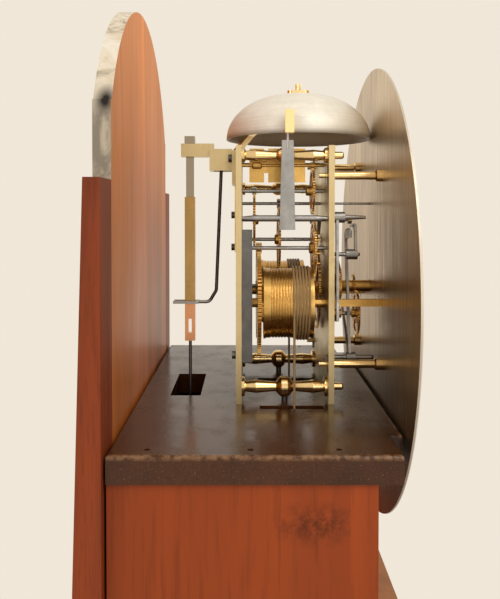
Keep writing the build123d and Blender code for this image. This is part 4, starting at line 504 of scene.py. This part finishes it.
class CLOCK_OT_movement_metals(bpy.types.Operator):
    """Finish plates, pillars, wheels, arbors, levers and the case's brass fittings."""

    bl_idname = "clock.movement_metals"
    bl_label = "Movement Metals"

    def execute(self, context):
        colours = context.scene.clock_movement
        golden, blued, lead = colours.golden, (0.03, 0.045, 0.10), (0.17, 0.17, 0.175)
        dark = darker(colours.steel, 0.45)
        dress_plainly(
            metal,
            (("plate_brass", colours.plate, 0.3, 0.5, UP_AND_DOWN, 0.3, 30), ("back_plate", "front_plate")),
            (("polished_brass", colours.brass, 0.12, 0.3, (1, 0.05, 1), 0.22, 80), POLISHED),
            (("cock_brass", colours.plate, 0.25, 0.42, (1, 1, 0.1), 0.3, 60), ("back_cock",)),
            (("wheel_brass", golden, 0.2, 0.4, (1, 0.2, 1), 0.35, 90), BARRELS + MOTION_WHEELS),
            (("worked_steel", colours.steel, 0.24, 0.45, (1, 0.1, 0.1), 0.5, 120), STEEL_WORK),
            (("dark_steel", dark, 0.3, 0.5, (1, 1, 0.1), 0.6, 90), DARK_STEEL),
            (("bob_brass", colours.brass, 0.14, 0.3, EVEN, 0.3, 12), ("pendulum_bob",)),
            (("cast_lead", lead, 0.5, 0.7, EVEN, 0.5, 60), ("going_weight", "strike_weight")),
            (("blued_steel", blued, 0.18, 0.3, EVEN, 0.3, 120), HANDS),
        )
        for name in TRAIN_WHEELS:
            low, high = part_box(name)
            middle = tuple((first + last) / 2 for first, last in zip(low, high))
            finish, base, shine = metal(name + "_metal", golden, 0.2, 0.42, EVEN, 0.35, 90)
            axis = finish.spot(middle, (0.0032, 9.0, 0.0032), 0.04)
            dress(finish.done(finish.mix(axis, base, colours.steel), shine), name)
        darkest = darker(colours.steel, 0.3)
        finish, base, shine = metal("crutch_steel", darkest, 0.28, 0.45, (1, 1, 0.1), 0.5, 90)
        place = finish.parts()
        fork = finish.span(place["Z"], SEAT_TOP + 0.067, SEAT_TOP + 0.0655)
        dress(finish.done(finish.mix(fork, base, colours.steel), shine), "pallets_and_crutch")
        finish, base, shine = metal("hammer_metal", colours.steel, 0.28, 0.45, (1, 1, 0.06), 0.55, 90)
        place = finish.parts()
        head = finish.span(place["Z"], SEAT_TOP + 0.1885, SEAT_TOP + 0.189)
        dress(finish.done(finish.mix(head, base, colours.brass), shine), "hammer")
        finish, base, shine = metal("block_brass", (0.50, 0.31, 0.11), 0.14, 0.3, UP_AND_DOWN, 0.3, 60)
        place = finish.parts()
        copper = finish.span(place["Z"], SEAT_TOP + 0.066, SEAT_TOP + 0.062)
        spring = finish.span(place["Z"], SEAT_TOP + 0.1462, SEAT_TOP + 0.1465)
        base = finish.mix(copper, base, (0.72, 0.34, 0.17))
        dress(finish.done(finish.mix(spring, base, (0.36, 0.30, 0.22)), shine), "pendulum_block")
        return {"FINISHED"}


class CLOCK_OT_bell(bpy.types.Operator):
    """Turn the bell: a thin wall, a rim and faint turning rings on grey bell metal."""

    bl_idname = "clock.bell"
    bl_label = "Bell"

    def execute(self, context):
        sizes = context.scene.clock_movement
        low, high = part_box("bell")
        radius = (high[0] - low[0]) / 2
        rise = high[2] - low[2]
        centre = Vector(((low[0] + high[0]) / 2, (low[1] + high[1]) / 2, low[2]))
        mesh = bmesh.new()
        outline = []
        for inset in (0.0, sizes.bell_wall):
            side = []
            for n in range(sizes.bell_steps + 1):
                angle = radians(90 * n / sizes.bell_steps)
                wide = (radius - inset) * cos(angle) ** sizes.bell_fullness if n < sizes.bell_steps else 0.0
                side.append((max(wide, sizes.bell_hole), (rise - inset) * sin(angle)))
            outline.append(side)
        path = outline[0][::-1] + outline[1]
        spots = [mesh.verts.new(centre + Vector((wide, 0, up))) for wide, up in path]
        edges = [mesh.edges.new(pair) for pair in zip(spots, spots[1:])]
        edges.append(mesh.edges.new((spots[-1], spots[0])))
        bmesh.ops.spin(
            mesh, geom=spots + edges, cent=centre, axis=(0, 0, 1), angle=2 * pi, steps=96, use_merge=True
        )
        bmesh.ops.remove_doubles(mesh, verts=mesh.verts, dist=1e-6)
        bmesh.ops.recalc_face_normals(mesh, faces=mesh.faces)
        finish, base, shine = metal("bell_metal", sizes.bell, 0.36, 0.55, EVEN, 0.3, 46)
        place = finish.parts()
        rings = finish.noise((0.02, 0.02, 1), 900, 2, 0.5)
        base = finish.mix(finish.span(rings, 0.45, 0.6, 0.0, 0.16), base, darker(sizes.bell, 0.6))
        rim = finish.span(place["Z"], low[2] + 0.006, low[2] + 0.001, 0.0, 0.45)
        base = finish.mix(rim, base, darker(sizes.bell, 0.4))
        finish.shader.inputs["Metallic"].default_value = 0.08
        bell = piece_from(mesh, "bell_shell", finish.done(base, shine), "clock")
        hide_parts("bell")
        return {"FINISHED"}


class CLOCK_OT_lines(bpy.types.Operator):
    """Wind the lines on the barrels and hang them round the pulleys."""

    bl_idname = "clock.lines"
    bl_label = "Lines"

    def execute(self, context):
        sizes = context.scene.clock_movement
        radius = sizes.line_radius
        hang, pitch = sizes.line_hang, sizes.line_pitch
        finish, base, shine = metal("gut_line", (0.42, 0.27, 0.12), 0.4, 0.6, EVEN, 0.3, 300)
        finish.shader.inputs["Metallic"].default_value = 0.0
        lay = finish.nodes.new("ShaderNodeTexWave")
        lay.bands_direction = "DIAGONAL"
        lay.inputs["Scale"].default_value = 420.0
        finish.links.new(finish.where.outputs["Object"], lay.inputs["Vector"])
        finish.bump(lay.outputs["Fac"], 0.0002, 0.6)
        twisted = finish.mix(finish.span(lay.outputs["Fac"], 0, 1, 0, 0.5), base, (0.2, 0.11, 0.04))
        gut = finish.done(twisted, shine)
        for side, turns, first in (("going", 5.0, 112.9), ("strike", 5.5, 111.8)):
            low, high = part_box(side + "_barrel")
            middle = Vector(((low[0] + high[0]) / 2, 0, (low[2] + high[2]) / 2))
            points = [Vector((middle.x - hang, BOARD_FACE - first / 1000, middle.z - 2 * radius))]
            for n in range(int(turns * TURN_POINTS) + 1):
                angle = pi - 2 * pi * n / TURN_POINTS
                spread = hang / cos(pi / TURN_POINTS) if 0 < n < turns * TURN_POINTS else hang
                depth = first / 1000 + pitch * n / TURN_POINTS
                aside, up = spread * cos(angle), spread * sin(angle)
                points.append(Vector((middle.x + aside, BOARD_FACE - depth, middle.z + up)))
            wound = tube(side + "_winding", points, radius, gut, side + "_barrel")
            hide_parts(side + "_line_turns")
            low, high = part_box(side + "_line")
            left, right = low[0] + radius, high[0] - radius
            depth = (low[1] + high[1]) / 2
            reach = (right - left) / 2
            turn_z = low[2] + radius + reach
            centre = (left + right) / 2
            falls = left if side == "going" else right
            stands = right if side == "going" else left
            points = [Vector((falls, depth, high[2]))]
            for n in range(BEND_POINTS + 1):
                angle = pi * n / BEND_POINTS
                aside = (falls - centre) * cos(angle)
                points.append(Vector((centre + aside, depth, turn_z - reach * sin(angle))))
            points.append(Vector((stands, depth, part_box("seat_board")[0][2])))
            line = tube(side + "_hanging_line", points, radius, gut, None, kind="POLY")
            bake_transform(line)
            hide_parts(side + "_line")
        return {"FINISHED"}


def turned_text(text, height, radius, angle, centre, depth, stretch):
    """A numeral as a mesh that stands on the dial, its foot towards the dial's centre."""
    curve = bpy.data.curves.new("numeral", "FONT")
    curve.body = text
    curve.size = height * 1.38
    curve.align_x = "CENTER"
    curve.align_y = "CENTER"
    curve.extrude = depth
    maker = bpy.data.objects.new("numeral", curve)
    bpy.context.collection.objects.link(maker)
    data = bpy.data.meshes.new_from_object(maker.evaluated_get(bpy.context.evaluated_depsgraph_get()))
    bpy.data.objects.remove(maker)
    upright = Matrix.Rotation(pi / 2, 4, "X")
    place = Matrix.Translation(centre) @ Matrix.Rotation(angle, 4, "Y") @ Matrix.Translation((0, 0, radius))
    data.transform(place @ upright @ Matrix.Diagonal((stretch, 1, 1, 1)))
    return data


def ring(mesh, centre, inner, outer, depth, segments=180):
    """A flat ring that faces the front, with its own thin wall."""
    spots = []
    for radius, proud in ((inner, 0.0), (inner, depth), (outer, depth), (outer, 0.0)):
        spots.append(mesh.verts.new(centre + Vector((radius, -proud, 0))))
    edges = [mesh.edges.new((spots[n], spots[(n + 1) % 4])) for n in range(4)]
    bmesh.ops.spin(
        mesh, geom=spots + edges, cent=centre, axis=(0, 1, 0), angle=2 * pi, steps=segments, use_merge=True
    )


def tick(mesh, centre, angle, inner, outer, width, depth):
    """One short engraved stroke between two radii."""
    grown = Matrix.Diagonal((width, depth, outer - inner, 1))
    place = Matrix.Translation(centre) @ Matrix.Rotation(angle, 4, "Y")
    middle = Matrix.Translation((0, -depth / 2, (inner + outer) / 2))
    bmesh.ops.create_cube(mesh, size=1.0, matrix=place @ middle @ grown)


class CLOCK_OT_dial(bpy.types.Operator):
    """Silver the dial's front, scrape its back, and engrave hours, minutes and seconds."""

    bl_idname = "clock.dial"
    bl_label = "Dial"

    def execute(self, context):
        sizes = context.scene.clock_dial
        finish = Finish("dial_metal", 0.3, 1.0)
        place = finish.parts()
        facing = finish.parts("Normal")
        scraped = finish.noise((0.6, 1, 0.035), 420, 4, 0.65)
        cloud = finish.noise((1, 1, 0.4), 18, 5, 0.6, 0.5)
        up = finish.span(place["Z"], SEAT_TOP - 0.06, SEAT_TOP + 0.22)
        shaded, middling, lit = (0.20, 0.115, 0.045), (0.44, 0.29, 0.14), (0.72, 0.57, 0.38)
        back = finish.ramp(up, (0.0, shaded), (0.5, middling), (1.0, lit))
        back = finish.mix(finish.span(scraped, 0.4, 0.62, 0.0, 0.22), back, (0.14, 0.085, 0.035))
        back = finish.mix(finish.span(cloud, 0.4, 0.7, 0.0, 0.4), back, (0.22, 0.13, 0.06))
        silver = finish.span(finish.noise(EVEN, 500, 3, 0.6), 0.3, 0.7, 0.0, 0.25)
        silver = finish.mix(silver, (0.64, 0.62, 0.56), (0.50, 0.47, 0.41))
        front = finish.span(facing["Y"], 0.2, -0.2)
        colour = finish.mix(front, back, silver)
        finish.bump(scraped, 0.00006, 0.5)
        finish.put(finish.span(front, 0.0, 1.0, 1.0, 0.15), finish.shader.inputs["Metallic"])
        rough = finish.span(scraped, 0.3, 0.7, 0.26, 0.38)
        rough = finish.maths("ADD", rough, finish.span(front, 0.0, 1.0, 0.0, 0.22))
        dress(finish.done(colour, rough), "dial")
        wax = Finish("black_wax", 0.65)
        speck = wax.noise(EVEN, 1400, 3, 0.6)
        wax.bump(speck, 0.00003, 0.4)
        dull = wax.span(speck, 0.5, 0.8, 0.0, 0.5)
        black = wax.done(wax.mix(dull, sizes.wax, (0.06, 0.055, 0.05)))
        mesh = bmesh.new()
        depth = sizes.depth
        hour = sizes.hour_ring
        outer = sizes.minute_ring
        inner = outer - 0.006
        small = 0.027
        for centre, radius in ((DIAL_CENTRE, outer), (DIAL_CENTRE, inner), (SECONDS_CENTRE, small)):
            ring(mesh, centre, radius - 0.0005, radius, depth)
        ring(mesh, DIAL_CENTRE, hour - 0.0195, hour - 0.019, depth)
        ring(mesh, SECONDS_CENTRE, small - 0.0045, small - 0.0041, depth, 90)
        for minute in range(60):
            angle = radians(6 * minute)
            bold = minute % 5 == 0
            tick(mesh, DIAL_CENTRE, angle, inner, outer, 0.0016 if bold else 0.0007, depth)
            tick(mesh, SECONDS_CENTRE, angle, 0.0227, 0.0269, 0.0008 if bold else 0.0004, depth)
        bmesh.ops.recalc_face_normals(mesh, faces=mesh.faces)
        words = []
        for n, numeral in enumerate(HOURS):
            angle = radians(30 * n)
            minutes = str(n * 5 or 60)
            words.append(turned_text(numeral, sizes.hour_height, hour, angle, DIAL_CENTRE, depth, 0.62))
            words.append(turned_text(minutes, 0.0062, outer + 0.0062, angle, DIAL_CENTRE, depth, 0.9))
            if n % 2 == 0:
                words.append(turned_text(minutes, 0.0036, 0.0197, angle, SECONDS_CENTRE, depth, 0.9))
        for data in words:
            mesh.from_mesh(data)
            bpy.data.meshes.remove(data)
        piece_from(mesh, "dial_engraving", black, "clock", smooth=False)
        return {"FINISHED"}


def look_at(lamp, target):
    """Turns a lamp towards a point."""
    lamp.rotation_euler = (Vector(target) - lamp.location).to_track_quat("-Z", "Y").to_euler()


class CLOCK_OT_studio(bpy.types.Operator):
    """Set the camera at the photograph's place, a pale floor and wall, and soft lights."""

    bl_idname = "clock.studio"
    bl_label = "Studio"

    def execute(self, context):
        scene = context.scene
        room = scene.clock_studio
        camera = bpy.data.cameras.new("photo_camera")
        camera.lens = 42.5
        camera.shift_x = 0.0033
        camera.shift_y = -0.117
        camera.clip_start = 0.02
        camera.clip_end = 60
        eye = bpy.data.objects.new("photo_camera", camera)
        eye.location = (-0.550, BOARD_FACE - 0.080, SEAT_TOP + 0.1333)
        eye.rotation_euler = (radians(90 - 1.3), 0, radians(-90))
        scene.collection.objects.link(eye)
        scene.camera = eye
        for name, place, target, size, power, tint in (
            ("key_light", (-1.5, -1.1, 3.3), (0, 0, 1.65), 1.6, room.key, (1.0, 0.97, 0.92)),
            ("fill_light", (-1.3, 1.6, 2.2), (0, 0, 1.6), 1.4, room.fill, (1.0, 0.98, 0.95)),
            ("front_light", (0.9, -2.2, 2.2), (0, 0, 1.0), 1.6, room.fill, (1.0, 0.98, 0.95)),
            ("near_light", (-2.0, -0.7, 1.75), (0, 0, 1.7), 1.0, room.near, (1.0, 0.96, 0.9)),
        ):
            data = bpy.data.lights.new(name, "AREA")
            data.size = size
            data.energy = power
            data.color = tint
            lamp = bpy.data.objects.new(name, data)
            lamp.location = place
            look_at(lamp, target)
            scene.collection.objects.link(lamp)
        world = bpy.data.worlds.new("pale_room")
        scene.world = world
        world.use_nodes = True
        nodes, links = world.node_tree.nodes, world.node_tree.links
        light = nodes["Background"]
        light.inputs["Color"].default_value = (1.0, 0.97, 0.93, 1)
        light.inputs["Strength"].default_value = room.room
        seen = nodes.new("ShaderNodeBackground")
        seen.inputs["Color"].default_value = (*room.wall, 1)
        rays = nodes.new("ShaderNodeLightPath")
        either = rays.outputs["Is Camera Ray"]
        for kind in ("Is Glossy Ray", "Is Transmission Ray"):
            most = nodes.new("ShaderNodeMath")
            most.operation = "MAXIMUM"
            links.new(either, most.inputs[0])
            links.new(rays.outputs[kind], most.inputs[1])
            either = most.outputs[0]
        mixed = nodes.new("ShaderNodeMixShader")
        links.new(either, mixed.inputs[0])
        links.new(light.outputs[0], mixed.inputs[1])
        links.new(seen.outputs[0], mixed.inputs[2])
        links.new(mixed.outputs[0], nodes["World Output"].inputs["Surface"])
        finish = Finish("floor_paint", 0.8)
        speck = finish.noise(EVEN, 40, 4, 0.6)
        worn = finish.span(speck, 0.3, 0.7, 0.0, 0.2)
        paint = finish.done(finish.mix(worn, room.floor, darker(room.floor, 0.9)))
        mesh = bmesh.new()
        bmesh.ops.create_circle(mesh, cap_ends=True, segments=96, radius=2.3)
        data = bpy.data.meshes.new("floor")
        mesh.to_mesh(data)
        mesh.free()
        data.materials.append(paint)
        floor = bpy.data.objects.new("floor", data)
        scene.collection.objects.link(floor)
        scene.view_settings.view_transform = "Standard"
        return {"FINISHED"}


OPERATORS = (
    CLOCK_OT_studio,
    CLOCK_OT_case_woods,
    CLOCK_OT_seat_board,
    CLOCK_OT_movement_metals,
    CLOCK_OT_bell,
    CLOCK_OT_lines,
    CLOCK_OT_dial,
)
GROUPS = (
    ("clock_case", CaseSettings),
    ("clock_movement", MovementSettings),
    ("clock_dial", DialSettings),
    ("clock_studio", StudioSettings),
)


class CLOCK_PT_panel(bpy.types.Panel):
    """The clock's pieces and their sizes and colours."""

    bl_idname = "CLOCK_PT_panel"
    bl_label = "Longcase Clock"
    bl_space_type = "VIEW_3D"
    bl_region_type = "UI"
    bl_category = "Clock"

    def draw(self, context):
        for name, group in GROUPS:
            box = self.layout.box()
            for key in group.__annotations__:
                box.prop(getattr(context.scene, name), key)
        for operator in OPERATORS:
            self.layout.operator(operator.bl_idname)


def register():
    """Adds the settings, the operators and the panel."""
    for _, group in GROUPS:
        bpy.utils.register_class(group)
    for operator in OPERATORS:
        bpy.utils.register_class(operator)
    bpy.utils.register_class(CLOCK_PT_panel)
    for name, group in GROUPS:
        setattr(bpy.types.Scene, name, PointerProperty(type=group))


def unregister():
    """Takes them away again."""
    for name, _ in reversed(GROUPS):
        delattr(bpy.types.Scene, name)
    bpy.utils.unregister_class(CLOCK_PT_panel)
    for operator in reversed(OPERATORS):
        bpy.utils.unregister_class(operator)
    for _, group in reversed(GROUPS):
        bpy.utils.unregister_class(group)


def main():
    """Builds the clock's looks in order."""
    register()
    for operator in OPERATORS:
        getattr(bpy.ops.clock, operator.bl_idname.split(".")[1])()


if __name__ == "__main__":
    main()
